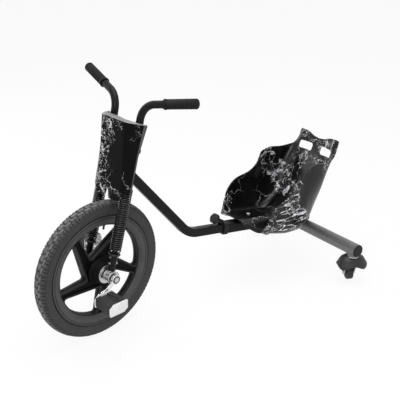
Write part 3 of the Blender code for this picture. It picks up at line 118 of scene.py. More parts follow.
# The seat's left half from front to back, each row from the middle to the rim, in millimetres;
# None stands for the height of the mounting plate
SEAT_STATIONS = from_mm((
    ((0, 478, None), (65, 492, 214), (92, 505, 206), (99, 512, 206), (104, 520, 207)),
    ((0, 505, None), (75, 520, 198), (99, 528, 202), (109, 538, 233), (112, 548, 268)),
    ((0, 560, None), (80, 567, 184), (105, 573, 194), (116, 582, 245), (116, 590, 297)),
    ((0, 620, None), (82, 620, 172), (107, 623, 186), (119, 631, 248), (116, 640, 307)),
    ((0, 670, None), (82, 667, 169), (106, 666, 187), (118, 667, 256), (112, 668, 330)),
    ((0, 708, 219), (82, 704, 190), (103, 698, 209), (114, 690, 290), (106, 684, 370)),
    ((0, 745, 255), (80, 735, 226), (98, 726, 249), (109, 722, 315), (103, 720, 379)),
    ((0, 772, 300), (74, 764, 275), (93, 757, 291), (102, 758, 337), (99, 762, 374)),
    ((0, 803, 345), (66, 794, 329), (84, 785, 338), (92, 790, 360), (92, 802, 378)),
    ((0, 824, 385), (56, 820, 379), (74, 815, 384), (83, 820, 392), (88, 827, 398)),
    ((0, 832, 414), (48, 833, 418), (66, 834, 420), (79, 835, 421), (86, 836, 420)),
))
# How far the backrest's top edge rises, from its middle to the side
BACK_CREST, CREST_SHARES = 0.008, (0, 0.4, 0.95, 0.95, 0.8, 0.5)
HAND_HOLE_X, HAND_HOLE_Z = 0.045, 0.380
HAND_HOLE_WIDTH, HAND_HOLE_HEIGHT, HAND_HOLE_CORNER = 0.054, 0.025, 0.007
HOUSING_X, HOUSING_RADIUS, HOUSING_BOTTOM = 0.230, 0.0208, 0.0213
KINGPIN_RADIUS, CASTER_TRAIL, CASTER_TURN = 0.005, 0.030, radians(62)
CASTER_FLANGE, CASTER_WHEEL_RADIUS, CASTER_WHEEL_HALF_WIDTH = 0.003, 0.0240, 0.011
CASTER_HUB_HALF_WIDTH, CASTER_PIN = 0.0138, 0.004
HOOD_CENTRE, HOOD_WALL, HOOD_FLAT, HOOD_RADIUS, HOOD_DEPTH = 0.009, 0.0025, 0.024, 0.045, 0.040
HOOD_ACROSS, HOOD_ALONG, HOOD_SQUARENESS, HOOD_ARCH = 1.09, 0.750, 2.6, 0.011

# From the wheel's foot to the frame's origin
SHIFT_Y, SHIFT_Z = -0.3190845, 0.0000687

LOWER_CROWN_TOP = LOWER_CROWN_BOTTOM + CROWN_THICKNESS
HEAD_BOTTOM = LOWER_CROWN_TOP + CUP_HEIGHT + 2 * GAP
HEAD_TOP = HEAD_BOTTOM + HEAD_TUBE_LENGTH
UPPER_CROWN_BOTTOM = HEAD_TOP + CUP_HEIGHT + 2 * GAP
LEG_TOP = UPPER_CROWN_BOTTOM + CROWN_THICKNESS + LEG_TOP_RISE
SLEEVE_SIDE = TUBE_SIDE + 2 * GAP + 2 * SLEEVE_WALL

# Shapes

def move(x, y, z):
    return Matrix.Translation((x, y, z))


def rotate(angle, axis):
    return Matrix.Rotation(angle, 4, axis)


def facing(origin, direction):
    """A frame at origin whose Z looks along direction."""
    return Matrix.Translation(origin) @ direction.to_track_quat("Z", "Y").to_matrix().to_4x4()


def sideways(side):
    """A turn that lays Z along X, to the given side."""
    return rotate(side * pi / 2, "Y")


FRONT = rotate(pi / 2, "X")
BACK = rotate(-pi / 2, "X")
UPRIGHT = Matrix(((0, 0, 1, 0), (1, 0, 0, 0), (0, 1, 0, 0), (0, 0, 0, 1)))


def soften(mesh, angle=35):
    mesh.shade_smooth()
    mesh.set_sharp_from_angle(angle=radians(angle))
    return mesh


def rounded(corners, radii, steps, closed=False):
    """Points along straight runs whose corners are arcs."""
    corners = [Vector(corner) for corner in corners]
    if not hasattr(radii, "__len__"):
        radii = [radii] * len(corners)
    points = []
    for index, (corner, radius) in enumerate(zip(corners, radii)):
        is_end = not closed and index in (0, len(corners) - 1)
        if is_end or not radius:
            points.append(corner)
            continue
        before = (corners[index - 1] - corner).normalized()
        after = (corners[(index + 1) % len(corners)] - corner).normalized()
        half = before.angle(after) / 2
        centre = corner + (before + after).normalized() * radius / sin(half)
        first = corner + before * radius / tan(half) - centre
        last = corner + after * radius / tan(half) - centre
        sweep = pi - 2 * half
        for step in range(steps + 1):
            share = step / steps
            arm = first * sin((1 - share) * sweep) + last * sin(share * sweep)
            points.append(centre + arm / sin(sweep))
    return points


def rectangle(low_x, low_y, high_x, high_y, corner, steps):
    corners = ((low_x, low_y, 0), (high_x, low_y, 0), (high_x, high_y, 0), (low_x, high_y, 0))
    return rounded(corners, corner, steps, closed=True)


def square(side, corner, steps=5):
    half = side / 2
    return rounded(((half, -half, 0), (half, half, 0), (-half, half, 0), (-half, -half, 0)), corner, steps,
                   closed=True)


def circle(x, y, radius, steps=40):
    angles = [2 * pi * i / steps for i in range(steps)]
    return [Vector((x + radius * cos(angle), y + radius * sin(angle), 0)) for angle in angles]


def hull(circles):
    """The outline of a belt drawn round some circles."""
    cloud = sorted((point.x, point.y) for x, y, radius in circles for point in circle(x, y, radius))

    def half(points):
        chain = []
        for x, y in points:
            while len(chain) > 1:
                (ax, ay), (bx, by) = chain[-2:]
                if (bx - ax) * (y - ay) - (by - ay) * (x - ax) > 1e-12:
                    break
                chain.pop()
            chain.append((x, y))
        return chain[:-1]

    return [Vector((x, y, 0)) for x, y in half(cloud) + half(cloud[::-1])]


def welded(mesh):
    """The mesh with its doubled points joined and its faces turned outwards."""
    shape = bmesh.new()
    shape.from_mesh(mesh)
    bmesh.ops.remove_doubles(shape, verts=shape.verts, dist=1e-6)
    bmesh.ops.recalc_face_normals(shape, faces=shape.faces)
    if shape.calc_volume(signed=True) < 0:
        bmesh.ops.reverse_faces(shape, faces=shape.faces)
    shape.to_mesh(mesh)
    shape.free()
    return mesh


def mesh_from(verts, faces):
    mesh = bpy.data.meshes.new("mesh")
    mesh.from_pydata([tuple(v) for v in verts], [], faces)
    return welded(mesh)


def joined(meshes):
    verts, faces = [], []
    for mesh in meshes:
        start = len(verts)
        verts += [tuple(v.co) for v in mesh.vertices]
        faces += [tuple(start + i for i in p.vertices) for p in mesh.polygons]
    return soften(mesh_from(verts, faces))


def turned_mesh(profile, steps, angle=35):
    """A profile of (radius, height) turned about Z, closed into a ring unless it starts on the axis."""
    verts, rings = [], []
    for radius, height in profile:
        count = steps if radius > 0 else 1
        rings.append([len(verts) + i % count for i in range(steps)])
        verts += [(*point.xy, height) for point in circle(0, 0, radius, steps)[:count]]
    if profile[0][0] > 0:
        rings.append(rings[0])
    faces = []
    for first, second in zip(rings, rings[1:]):
        for i in range(steps):
            j = (i + 1) % steps
            corners = dict.fromkeys((first[i], second[i], second[j], first[j]))
            if len(corners) > 2:
                faces.append(tuple(corners))
    return soften(mesh_from(verts, faces), angle)


def rod(radius, high, low, steps):
    return turned_mesh(((0, high), (radius, high), (radius, low), (0, low)), steps)


def ring_profile(outer, inner, start, end, edge=0.0006):
    """A tube with chamfered outer edges."""
    return ((outer - edge, end), (outer, end - edge), (outer, start + edge), (outer - edge, start),
            (inner, start), (inner, end))


def mirrored(half, middle=()):
    """Half a profile, its middle, and its mirror image."""
    return half + list(middle) + [(radius, -height) for radius, height in half[::-1]]


def sheet_mesh(rows):
    """A net of faces between rows of points."""
    width = len(rows[0])
    faces = [(r * width + c, r * width + c + 1, (r + 1) * width + c + 1, (r + 1) * width + c)
             for r in range(len(rows) - 1) for c in range(width - 1)]
    return mesh_from([point for row in rows for point in row], faces)


def both_halves(half):
    """Rows of points that start at the middle, with their mirror image before them."""
    return [[Vector((-p.x, p.y, p.z)) for p in row[:0:-1]] + row for row in half]


def faced(mesh, direction):
    """The mesh of a sheet, turned over if its faces look away from a direction."""
    if sum(p.normal.dot(Vector(direction)) for p in mesh.polygons) < 0:
        mesh.flip_normals()
    return mesh


def linked(name, data):
    obj = bpy.data.objects.new(name, data)
    bpy.context.scene.collection.objects.link(obj)
    return obj


def baked(obj):
    """The mesh that an object has with its modifiers."""
    return bpy.data.meshes.new_from_object(obj.evaluated_get(bpy.context.evaluated_depsgraph_get()))


def curve_object(lines, closed, dimensions, radii=(1.0,), **settings):
    data = bpy.data.curves.new("guide", "CURVE")
    data.dimensions = dimensions
    for points in lines:
        spline = data.splines.new("POLY")
        spline.points.add(len(points) - 1)
        for index, (target, point) in enumerate(zip(spline.points, points)):
            target.co = (*point, 1.0)
            target.radius = radii[index % len(radii)]
        spline.use_cyclic_u = closed
    for key, value in settings.items():
        setattr(data, key, value)
    return linked("guide", data)


def curve_mesh(lines, closed, dimensions, **settings):
    """The welded mesh of a curve."""
    guide = curve_object(lines, closed, dimensions, **settings)
    mesh = baked(guide)
    bpy.data.objects.remove(guide)
    mesh.materials.clear()
    return soften(welded(mesh))


def plate_mesh(outlines, thickness, edge=0.0):
    """A flat plate with holes and rounded edges, its thickness centred on Z = 0."""
    return curve_mesh(outlines, True, "2D", fill_mode="BOTH", extrude=thickness / 2 - edge, bevel_depth=edge,
                      bevel_resolution=2, offset=-edge)


def tube_mesh(points, radius, resolution):
    return curve_mesh([points], False, "3D", bevel_depth=radius, bevel_resolution=resolution,
                      use_fill_caps=True)


def block_mesh(low, high):
    xs, ys, zs = map(sorted, zip(low, high))
    verts = [(x, y, z) for x in xs for y in ys for z in zs]
    faces = [(0, 1, 3, 2), (4, 6, 7, 5), (0, 4, 5, 1), (2, 3, 7, 6), (0, 2, 6, 4), (1, 5, 7, 3)]
    return mesh_from(verts, faces)


def show(name, mesh, matrix, finish, body, *replaced):
    """Put one piece of the object in the scene, riding on its CAD body, with its mesh in place."""
    mesh.transform(matrix)
    obj = linked(name, mesh)
    mesh.materials.clear()
    mesh.materials.append(MATERIALS[finish])
    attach(obj, body)
    if replaced:
        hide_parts(*replaced)
    return obj


def bevel(obj, width, segments=2, angle=40):
    edge = obj.modifiers.new("edges", "BEVEL")
    edge.width = width
    edge.segments = segments
    edge.limit_method = "ANGLE"
    edge.angle_limit = radians(angle)
    edge.harden_normals = True


def thicken(obj, wall):
    """Give a sheet a wall behind its face, for good."""
    change = obj.modifiers.new("wall", "SOLIDIFY")
    change.thickness = wall
    change.offset = -1
    solid = baked(obj)
    obj.modifiers.clear()
    obj.data = solid


def boolean(target, mesh, matrix, operation="DIFFERENCE"):
    """Cut or join a mesh, placed by a world matrix, into a piece for good."""
    mesh.transform(matrix)
    tool = linked("tool", mesh)
    change = target.modifiers.new("cut", "BOOLEAN")
    change.operation = operation
    change.solver = "EXACT"
    change.object = tool
    result = baked(target)
    target.modifiers.clear()
    finish = target.data.materials[0]
    target.data = result
    result.materials.clear()
    result.materials.append(finish)
    soften(result)
    bpy.data.objects.remove(tool)


# Frames of the moving groups at rest

def steering_point(height):
    foot = Vector((0, FORK_OFFSET * cos(RAKE), WHEEL_RADIUS - FORK_OFFSET * sin(RAKE)))
    return foot + height * Vector((0, sin(RAKE), cos(RAKE)))


JOINT = steering_point(HEAD_JOINT)
TUBE_BEND_CORNER = Vector((0, BEND_CORNER_Y, JOINT.z - (BEND_CORNER_Y - JOINT.y) * tan(TUBE_SLOPE)))
ROOT = move(0, SHIFT_Y, SHIFT_Z)
HEAD = ROOT @ move(*steering_point(0)) @ rotate(-RAKE, "X")
FORK = HEAD @ rotate(REST_STEER, "Z")
AXLE = FORK @ move(0, -FORK_OFFSET, 0) @ rotate(RAKE, "X")
TURNED_AXLE = AXLE @ sideways(1)
UPRIGHT_AXLE = AXLE @ UPRIGHT
RUN = ROOT @ move(*TUBE_BEND_CORNER) @ rotate(-RUN_SLOPE, "X")
CROSS_DROP = SLEEVE_SIDE / 2 + GAP + CROSS_RADIUS
CARRIAGE = RUN @ move(0, CROSS_PLACE, -CROSS_DROP) @ rotate(RUN_SLOPE, "X")

# Materials

def grey(value, blue=1.03):
    return (value, value, value * blue, 1.0)


class Nodes:
    """The node tree of a material or a world, built by short calls."""

    def __init__(self, owner):
        owner.use_nodes = True
        self.owner = owner
        self.tree = owner.node_tree
        self.place = self.add("ShaderNodeTexCoord").outputs["Object"]

    def put(self, value, target):
        """Wire a socket into an input, or set it to a constant."""
        if isinstance(value, bpy.types.NodeSocket):
            self.tree.links.new(value, target)
        else:
            target.default_value = value

    def add(self, kind, inputs=None, **settings):
        made = self.tree.nodes.new(kind)
        for key, value in settings.items():
            setattr(made, key, value)
        for key, value in (inputs or {}).items():
            self.put(value, made.inputs[key])
        return made

    def noise(self, scale, detail=3.0, roughness=0.55, at=None, out="Fac"):
        inputs = {"Vector": at or self.place, "Scale": scale, "Detail": detail, "Roughness": roughness}
        return self.add("ShaderNodeTexNoise", inputs).outputs[out]

    def spread(self, value, low, high, to_low=0.0, to_high=1.0, kind="LINEAR"):
        """Map low..high to to_low..to_high, clamped."""
        inputs = {0: value, 1: low, 2: high, 3: to_low, 4: to_high}
        return self.add("ShaderNodeMapRange", inputs, interpolation_type=kind, clamp=True).outputs[0]

    def sway(self, value, to_low, to_high):
        """Map the middle of a noise to a range."""
        return self.spread(value, 0.3, 0.7, to_low, to_high)

    def math(self, operation, a, b):
        return self.add("ShaderNodeMath", {0: a, 1: b}, operation=operation).outputs[0]

    def plus(self, a, b):
        return self.math("ADD", a, b)

    def times(self, a, b):
        return self.math("MULTIPLY", a, b)

    def higher(self, a, b):
        return self.math("MAXIMUM", a, b)

    def vector(self, operation, a, b=(0, 0, 0), scale=1.0, out="Vector"):
        inputs = {0: a, 1: b, 3: scale}
        return self.add("ShaderNodeVectorMath", inputs, operation=operation).outputs[out]

    def scaled(self, x, y, z):
        return self.add("ShaderNodeMapping", {"Vector": self.place, "Scale": (x, y, z)}).outputs[0]

    def greys(self, value, dark, light, high=0.7, low=0.3, blue=1.03):
        """A ramp from one grey to another."""
        made = self.add("ShaderNodeValToRGB", {"Fac": value})
        for element, place, tone in zip(made.color_ramp.elements, (low, high), (dark, light)):
            element.position = place
            element.color = grey(tone, blue)
        return made.outputs["Color"]

    def mix(self, share, a, b):
        return self.add("ShaderNodeMix", {0: share, 6: a, 7: b}, data_type="RGBA").outputs[2]

    def bump(self, height, distance, strength, **below):
        inputs = {"Height": height, "Distance": distance, "Strength": strength, **below}
        return self.add("ShaderNodeBump", inputs).outputs["Normal"]

    def finish(self, colour, rough, normal, specular=0.5, metallic=0.0):
        shader = self.tree.nodes["Principled BSDF"]
        inputs = {"Base Color": colour, "Roughness": rough, "Normal": normal, "Specular IOR Level": specular,
                  "Metallic": metallic}
        for key, value in inputs.items():
            self.put(value, shader.inputs[key])


MATERIALS = {}


def material(name):
    MATERIALS[name] = bpy.data.materials.new(name)
    return Nodes(MATERIALS[name])


def paint(name, dark, light, specular):
    """Satin black stove paint: faint orange peel, small changes of sheen, a few specks of dust."""
    n = material(name)
    cloud = n.noise(14, 4)
    specks = n.spread(n.noise(1500, 1), 0.70, 0.76)
    colour = n.mix(n.times(specks, 0.35), n.greys(cloud, dark, light), grey(0.05))
    rough = n.plus(n.sway(cloud, 0.31, 0.40), n.spread(n.noise(160), 0.35, 0.65, -0.02, 0.03))
    n.finish(colour, rough, n.bump(n.noise(420, 2), 0.00012, 0.5), specular)


def coat(name, cloud, grain, tones, sheen, relief, specular, uneven=0.0):
    """Powder coat, plastic or rubber: a cloudy grey with a fine grain, uneven in roughness."""
    n = material(name)
    clouds, grains = n.noise(*cloud), n.noise(*grain)
    rough = n.sway(clouds, *sheen)
    if uneven:
        rough = n.plus(rough, n.sway(grains, -uneven, uneven))
    n.finish(n.greys(clouds, *tones), rough, n.bump(grains, *relief), specular)


def tyre_rubber():
    """Tyre rubber: fine mould texture, fine rings on the sidewall, greyer where it is dusty."""
    n = material("tyre_rubber")
    back = AXLE.inverted()
    inputs = {"Vector": n.place, "Location": back.translation, "Rotation": back.to_euler()}
    axes = n.add("ShaderNodeSeparateXYZ", {0: n.add("ShaderNodeMapping", inputs).outputs[0]}).outputs
    flat = n.add("ShaderNodeCombineXYZ", {0: 0.0, 1: axes[1], 2: axes[2]})
    radius = n.vector("LENGTH", flat.outputs[0], out="Value")
    cloud = n.noise(18, 5, 0.6)
    grain = n.noise(900, 3)
    worn = n.times(n.spread(radius, 0.1960, 0.2010), n.spread(n.noise(70, 3), 0.30, 0.55, 0.35, 1.0))
    colour = n.mix(worn, n.greys(cloud, 0.026, 0.040, 0.72, 0.28), grey(0.155))
    rings = n.math("SINE", n.times(radius, 2 * pi / 0.0021), 0.0)
    sidewall = n.times(n.spread(radius, 0.168, 0.171), n.spread(radius, 0.181, 0.178))
    height = n.plus(n.times(n.times(rings, sidewall), 0.35), grain)
    rough = n.plus(n.sway(cloud, 0.60, 0.74), n.sway(grain, -0.05, 0.05))
    n.finish(colour, rough, n.bump(height, 0.00025, 0.7), 0.4)


def foam():
    """Closed-cell foam of the grips: open pores over a soft skin."""
    n = material("grip_foam")
    pores = n.add("ShaderNodeTexVoronoi", {"Vector": n.place, "Scale": 900.0}).outputs["Distance"]
    cloud = n.noise(60, 4)
    colour = n.greys(n.plus(cloud, n.times(pores, 0.25)), 0.0055, 0.012, 0.85, 0.35)
    n.finish(colour, n.sway(cloud, 0.62, 0.78), n.bump(pores, 0.0003, 0.6), 0.16)


def metal(name, dark, light, low, high, scale, streaks):
    """Plated steel: cloudy plating, small pits, faint marks from handling."""
    n = material(name)
    cloud = n.noise(scale, 4, 0.6)
    marks = n.spread(n.noise(240, 3, at=n.scaled(1.0, 1.0, 14.0)), 0.55, 0.75)
    rough = n.plus(n.sway(cloud, low, high), n.times(marks, streaks))
    pits = n.bump(n.noise(1100, 2), 0.00008, 0.4)
    n.finish(n.greys(cloud, dark, light, blue=1.01), rough, pits, metallic=1.0)


def pale_plastic():
    """White nylon of the pedals' ends, a little scuffed."""
    n = material("pale_plastic")
    cloud = n.noise(50, 4)
    scuff = n.spread(n.noise(170, 5, 0.7), 0.60, 0.72)
    colour = n.mix(n.times(scuff, 0.35), n.greys(cloud, 0.76, 0.86, blue=1.01), grey(0.55))
    n.finish(colour, n.sway(cloud, 0.36, 0.48), n.bump(n.noise(1200, 2), 0.0001, 0.4), 0.4)


def veins(n, at, scale, seed, width, jag=1.0):
    """Branching white veins: cell borders of a warped Voronoi, thick in places and broken in others."""
    moved = n.vector("ADD", at, (seed * 3.17, seed * 1.91, seed * 2.53))
    bent = moved
    for noise, reach in (((scale * 1.1, 2), 1.024 / scale), ((scale * 6.0, 3, 0.7), jag * 0.55 / scale)):
        shift = n.vector("SUBTRACT", n.noise(*noise, at=moved, out="Color"), (0.5, 0.5, 0.5))
        bent = n.vector("ADD", bent, n.vector("SCALE", shift, scale=reach))
    inputs = {"Vector": bent, "Scale": scale, "Randomness": 1.0}
    edge = n.add("ShaderNodeTexVoronoi", inputs, feature="DISTANCE_TO_EDGE").outputs["Distance"]
    swell = n.spread(n.noise(scale * 1.7, 2, at=moved), 0.36, 0.70, 0.003, width)
    return n.spread(n.math("SUBTRACT", swell, edge), 0.0, 0.012, kind="SMOOTHSTEP")


def zones(n, spots, scale, ragged):
    """How far inside any of some balls, each (centre, radius), a place is, with ragged edges."""
    best = 0.0
    for centre, radius in from_mm(spots):
        away = n.vector("DISTANCE", n.place, centre, out="Value")
        best = n.higher(best, n.spread(away, radius * 0.45, radius * 1.15, 1.0, 0.0, "SMOOTHSTEP"))
    return n.plus(best, n.sway(n.noise(scale, 3), -ragged, ragged))


def veined(name, spots, streaked, specular, scale):
    """Gloss black moulding with a printed pattern of white veins, dense only in some zones."""
    n = material(name)
    dense = n.spread(zones(n, spots, 26, 0.28), 0.30, 0.62, kind="SMOOTHSTEP")
    thick = n.higher(veins(n, n.place, scale, 1.0, 0.042), veins(n, n.place, scale * 2.1, 2.0, 0.030))
    hair = n.times(veins(n, n.place, scale * 0.8, 3.0, 0.016, jag=0.7), n.spread(n.noise(9, 2), 0.46, 0.56))
    mask = n.higher(n.times(thick, dense), hair)
    if streaked:
        streaks = veins(n, n.scaled(1.0, 0.55, 2.4), scale * 1.7, 4.0, 0.085, jag=0.8)
        mask = n.higher(mask, n.times(streaks, n.spread(zones(n, streaked, 30, 0.25), 0.3, 0.55)))
    dots = n.times(n.spread(n.noise(330, 2), 0.69, 0.73), dense)
    mask = n.higher(mask, n.times(dots, 0.7))
    cloud = n.noise(12, 4)
    colour = n.mix(mask, n.greys(cloud, 0.0028, 0.0052), n.greys(n.noise(60, 3), 0.72, 0.90, 0.65))
    rough = n.plus(n.sway(cloud, 0.17, 0.24), n.times(mask, 0.08))
    peel = n.bump(n.noise(520, 2), 0.00004, 0.4)
    n.finish(colour, rough, n.bump(mask, 0.00004, 0.6, Normal=peel), specular)


# Where the print is dense, each ball's centre and radius in millimetres
SEAT_SPOTS = (((-106, 385, 355), 45), ((-100, 425, 300), 45), ((-75, 435, 255), 45), ((-20, 425, 245), 40),
              ((30, 505, 405), 40), ((75, 505, 405), 35), ((95, 455, 370), 30), ((-108, 215, 222), 40),
              ((108, 215, 222), 40), ((118, 300, 270), 35), ((-50, 500, 300), 30), ((0, 520, 330), 50))
SEAT_STREAKS = (((120, 290, 285), 45), ((119, 285, 235), 55), ((113, 330, 215), 50))
SHIELD_SPOTS = (((-40, -262, 600), 50), ((-36, -272, 550), 45), ((-34, -280, 500), 45),
                ((-26, -285, 450), 40), ((0, -262, 580), 30), ((-10, -260, 620), 35),
                ((35, -250, 615), 20), ((-10, -285, 425), 35))

# Cloud noise, grain noise, greys, roughness, relief, specular level and unevenness of each plain coat
MOULDED = ((22, 4, 0.6), (1300, 2))
COATS = {
    "spring_paint": ((90, 3), (700, 2), (0.005, 0.011), (0.20, 0.28), (0.00008, 0.5), 0.42),
    # On the wheel's rim, this grey is lighter than the web and walls of the same moulding. That is painted
    # light on the rim band. The shield's bare strips take this grey too.
    "wheel_plastic": (*MOULDED, (0.034, 0.054, 0.72), (0.46, 0.56), (0.00018, 0.6), 0.50, 0.04),
    # The wheel's web and hub take a far darker grey than its rim and walls, though the wheel is one
    # moulding. This is painted shade for its recessed middle.
    "wheel_painted_shade_plastic": (*MOULDED, (0.0030, 0.0055, 0.72), (0.46, 0.56), (0.00018, 0.6), 0.07, 0.04),
    "wall_plastic": (*MOULDED, (0.008, 0.016, 0.72), (0.46, 0.56), (0.00018, 0.6), 0.22, 0.04),
    "black_plastic": ((60, 3), (1700, 2), (0.011, 0.020), (0.38, 0.50), (0.00012, 0.6), 0.4, 0.03),
    "hood_plastic": ((40, 4), (1200, 2), (0.012, 0.022), (0.36, 0.48), (0.00012, 0.5), 0.42),
    "rubber": ((45, 4), (1400, 2), (0.018, 0.032), (0.58, 0.72), (0.0002, 0.7), 0.4, 0.05),
}
for coat_name, coat_values in COATS.items():
    coat(coat_name, *coat_values)
paint("black_paint", 0.004, 0.008, 0.15)
# The cross tube is the same satin black paint as the frame. Its grey is many times lighter as painted light,
# a painted highlight for the bright band along its top.
paint("cross_tube_painted_light", 0.085, 0.120, 0.85)
# The shield's lip is the same gloss black moulding as the panel. Its pale grey is a painted reflection of
# the bright light above.
paint("lip_painted_reflection", 0.13, 0.18, 1.0)
tyre_rubber()
foam()
metal("zinc_plate", 0.46, 0.60, 0.30, 0.42, 60, 0.06)
metal("chrome", 0.72, 0.80, 0.10, 0.18, 30, 0.05)
pale_plastic()
veined("seat_gloss", SEAT_SPOTS, SEAT_STREAKS, 0.30, 17.0)
veined("shield_gloss", SHIELD_SPOTS, (), 0.05, 21.0)

# Front wheel

def on_wheel(reach, angle):
    return Vector((-reach * cos(angle), reach * sin(angle), 0))


def window(middle):
    """One opening between two spokes."""
    reach, steps = RIM_INNER - WINDOW_LIP, 14
    corners = [on_wheel(WINDOW_ROOT, middle + ROOT_TURN)]
    for step in (0, *range(2, steps - 1), steps):
        corners.append(on_wheel(reach, middle + WINDOW_HALF_ANGLE * (2 * step / steps - 1)))
    radii = [WINDOW_FILLET, WINDOW_CORNER] + [0] * (steps - 3) + [WINDOW_CORNER]
    return rounded(corners, radii, 6, closed=True)


def grown(points, distance):
    """A closed outline moved outwards along its own normals."""
    pairs = list(zip(points, points[1:] + points[:1]))
    area = sum(p.x * q.y - p.y * q.x for p, q in pairs)
    reach = distance if area > 0 else -distance
    result = []
    for (before, point), (_, after) in zip(pairs[-1:] + pairs[:-1], pairs):
        along = (after - before).normalized()
        result.append(point + Vector((along.y, -along.x, 0)) * reach)
    return result


def web_half(radius):
    """Half the thickness of the spokes at a distance from the axle."""
    share = min(1.0, max(0.0, (RIM_INNER - radius) / (RIM_INNER - HUB_RADIUS)))
    return WEB_HALF_WIDTH + share * (WEB_ROOT_HALF_WIDTH - WEB_HALF_WIDTH)


def make_wheel():
    """Turned rim and hub, the web with its five windows, a raised wall round each, and moulding pips."""
    edge, seat = RIM_HALF_WIDTH, RIM_HALF_WIDTH - FLANGE_WIDTH
    well = BEAD_RADIUS - WELL_DEPTH
    outer = [(RIM_EDGE - 0.0008, edge), (RIM_EDGE, edge - 0.0008), (RIM_EDGE, seat), (BEAD_RADIUS, seat),
             (BEAD_RADIUS, seat - 0.006), (well, seat - 0.009)]
    inner = [(0.1594, -edge), (0.1586, 0.0020 - edge), (0.1568, 0.0020 - edge), (0.1560, -edge),
             (0.1458, -edge), (0.1444, 0.0008 - edge), (0.1400, 0.0040 - edge),
             (RIM_INNER + 0.0010, 0.0062 - edge), (RIM_INNER, 0.0074 - edge)]
    rim = turned_mesh(mirrored(outer) + mirrored(inner), 144)
    # The rim's grey, lighter than the rest of the wheel, is painted light.
    show("wheel_rim", rim, TURNED_AXLE, "wheel_plastic", WHEEL_BODY, "front_wheel")
    root = web_half(HUB_RADIUS)
    face = [(AXLE_RADIUS + GAP, HUB_HALF_WIDTH), (HUB_RADIUS - 0.0042, HUB_HALF_WIDTH),
            (HUB_RADIUS - 0.0022, HUB_HALF_WIDTH - 0.002), (HUB_RADIUS + 0.0010, root + 0.0050),
            (HUB_RADIUS + 0.0040, root + 0.0010), (HUB_RADIUS + 0.0075, root - 0.0020)]
    # The hub and the web take the darker grey, painted shade for the wheel's recessed middle.
    show("wheel_hub", turned_mesh(mirrored(face), 96), TURNED_AXLE, "wheel_painted_shade_plastic", WHEEL_BODY)

    windows = [window(FIRST_SPOKE + (index + 0.5) * 2 * pi / SPOKES) for index in range(SPOKES)]
    outlines = [circle(0, 0, RIM_INNER + 0.0025, 180), circle(0, 0, HUB_RADIUS - 0.006, 60), *windows]
    web = plate_mesh(outlines, WEB_HALF_WIDTH, 0.0010)
    show("wheel_web", web, UPRIGHT_AXLE, "wheel_painted_shade_plastic", WHEEL_BODY)

    walls = []
    for outline in windows:
        wall = plate_mesh([grown(outline, WALL_WIDTH), outline], 2 * WEB_HALF_WIDTH, 0.0012)
        for v in wall.vertices:
            v.co.z *= web_half(v.co.xy.length) / WEB_HALF_WIDTH
        walls.append(wall)
    for angle in PIP_ANGLES:
        pip = turned_mesh(mirrored([(0, 0.003), (0.0024, 0.003), (0.0030, 0.0024)]), 20)
        pip.transform(move(*on_wheel(PIP_REACH, radians(angle)).xy, WEB_HALF_WIDTH * 0.4))
        walls.append(pip)
    show("spoke_walls", joined(walls), UPRIGHT_AXLE, "wall_plastic", WHEEL_BODY)


# The tread's outer radius from the tyre's middle to its shoulder, as (across, drop)
CROWN_PROFILE = ((0.0, 0.0), (0.004, 0.0001), (0.010, 0.0018), (0.0149, 0.0042), (0.0190, 0.0078),
                 (0.0216, 0.0115), (0.0232, 0.0165))
# Tread blocks beside the middle row: start and end in pitches, inner and outer edge, slant, steps across
SIDE_BLOCKS = ((0.12, 0.90, 0.0062, 0.0124, 0.14, 3), (-0.05, 0.43, 0.0138, 0.0224, -0.08, 4),
               (0.54, 0.86, 0.0146, 0.0228, 0.0, 4))


def crown_at(across):
    """The tread's outer radius at a place across the tyre."""
    across = abs(across)
    for (x0, drop0), (x1, drop1) in zip(CROWN_PROFILE, CROWN_PROFILE[1:]):
        if across <= x1:
            return WHEEL_RADIUS - drop0 - (drop1 - drop0) * (across - x0) / (x1 - x0)
    return WHEEL_RADIUS - CROWN_PROFILE[-1][1]


def tread_block(start, end, inner_x, outer_x, slant, steps):
    """The points and faces of a block between two angles and two places across, its top on the crown."""
    verts, faces = [], []
    way = 1 if outer_x > inner_x else -1
    for level, pull in ((-GROOVE_DEPTH - 0.0008, 0.0), (-0.0006, TREAD_TAPER * 0.6), (0.0, TREAD_TAPER)):
        turn = pull / WHEEL_RADIUS
        for k in range(steps + 1):
            x = inner_x + (outer_x - inner_x) * k / steps
            inset = way * pull * ((k == 0) - (k == steps))
            shift = slant * (k / steps - 0.5)
            radius = crown_at(x) + level
            for angle in (start + shift + turn, end + shift - turn):
                verts.append((x + inset, -radius * cos(angle), radius * sin(angle)))

    def at(level, k, which):
        return 2 * (level * (steps + 1) + k) + which

    for level in (0, 1):
        for k in range(steps):
            for which in (0, 1):
                faces.append((at(level, k, which), at(level, k + 1, which), at(level + 1, k + 1, which),
                              at(level + 1, k, which)))
        for k in (0, steps):
            faces.append((at(level, k, 0), at(level, k, 1), at(level + 1, k, 1), at(level + 1, k, 0)))
    for k in range(steps):
        faces.append((at(2, k, 0), at(2, k + 1, 0), at(2, k + 1, 1), at(2, k, 1)))
    return verts, faces


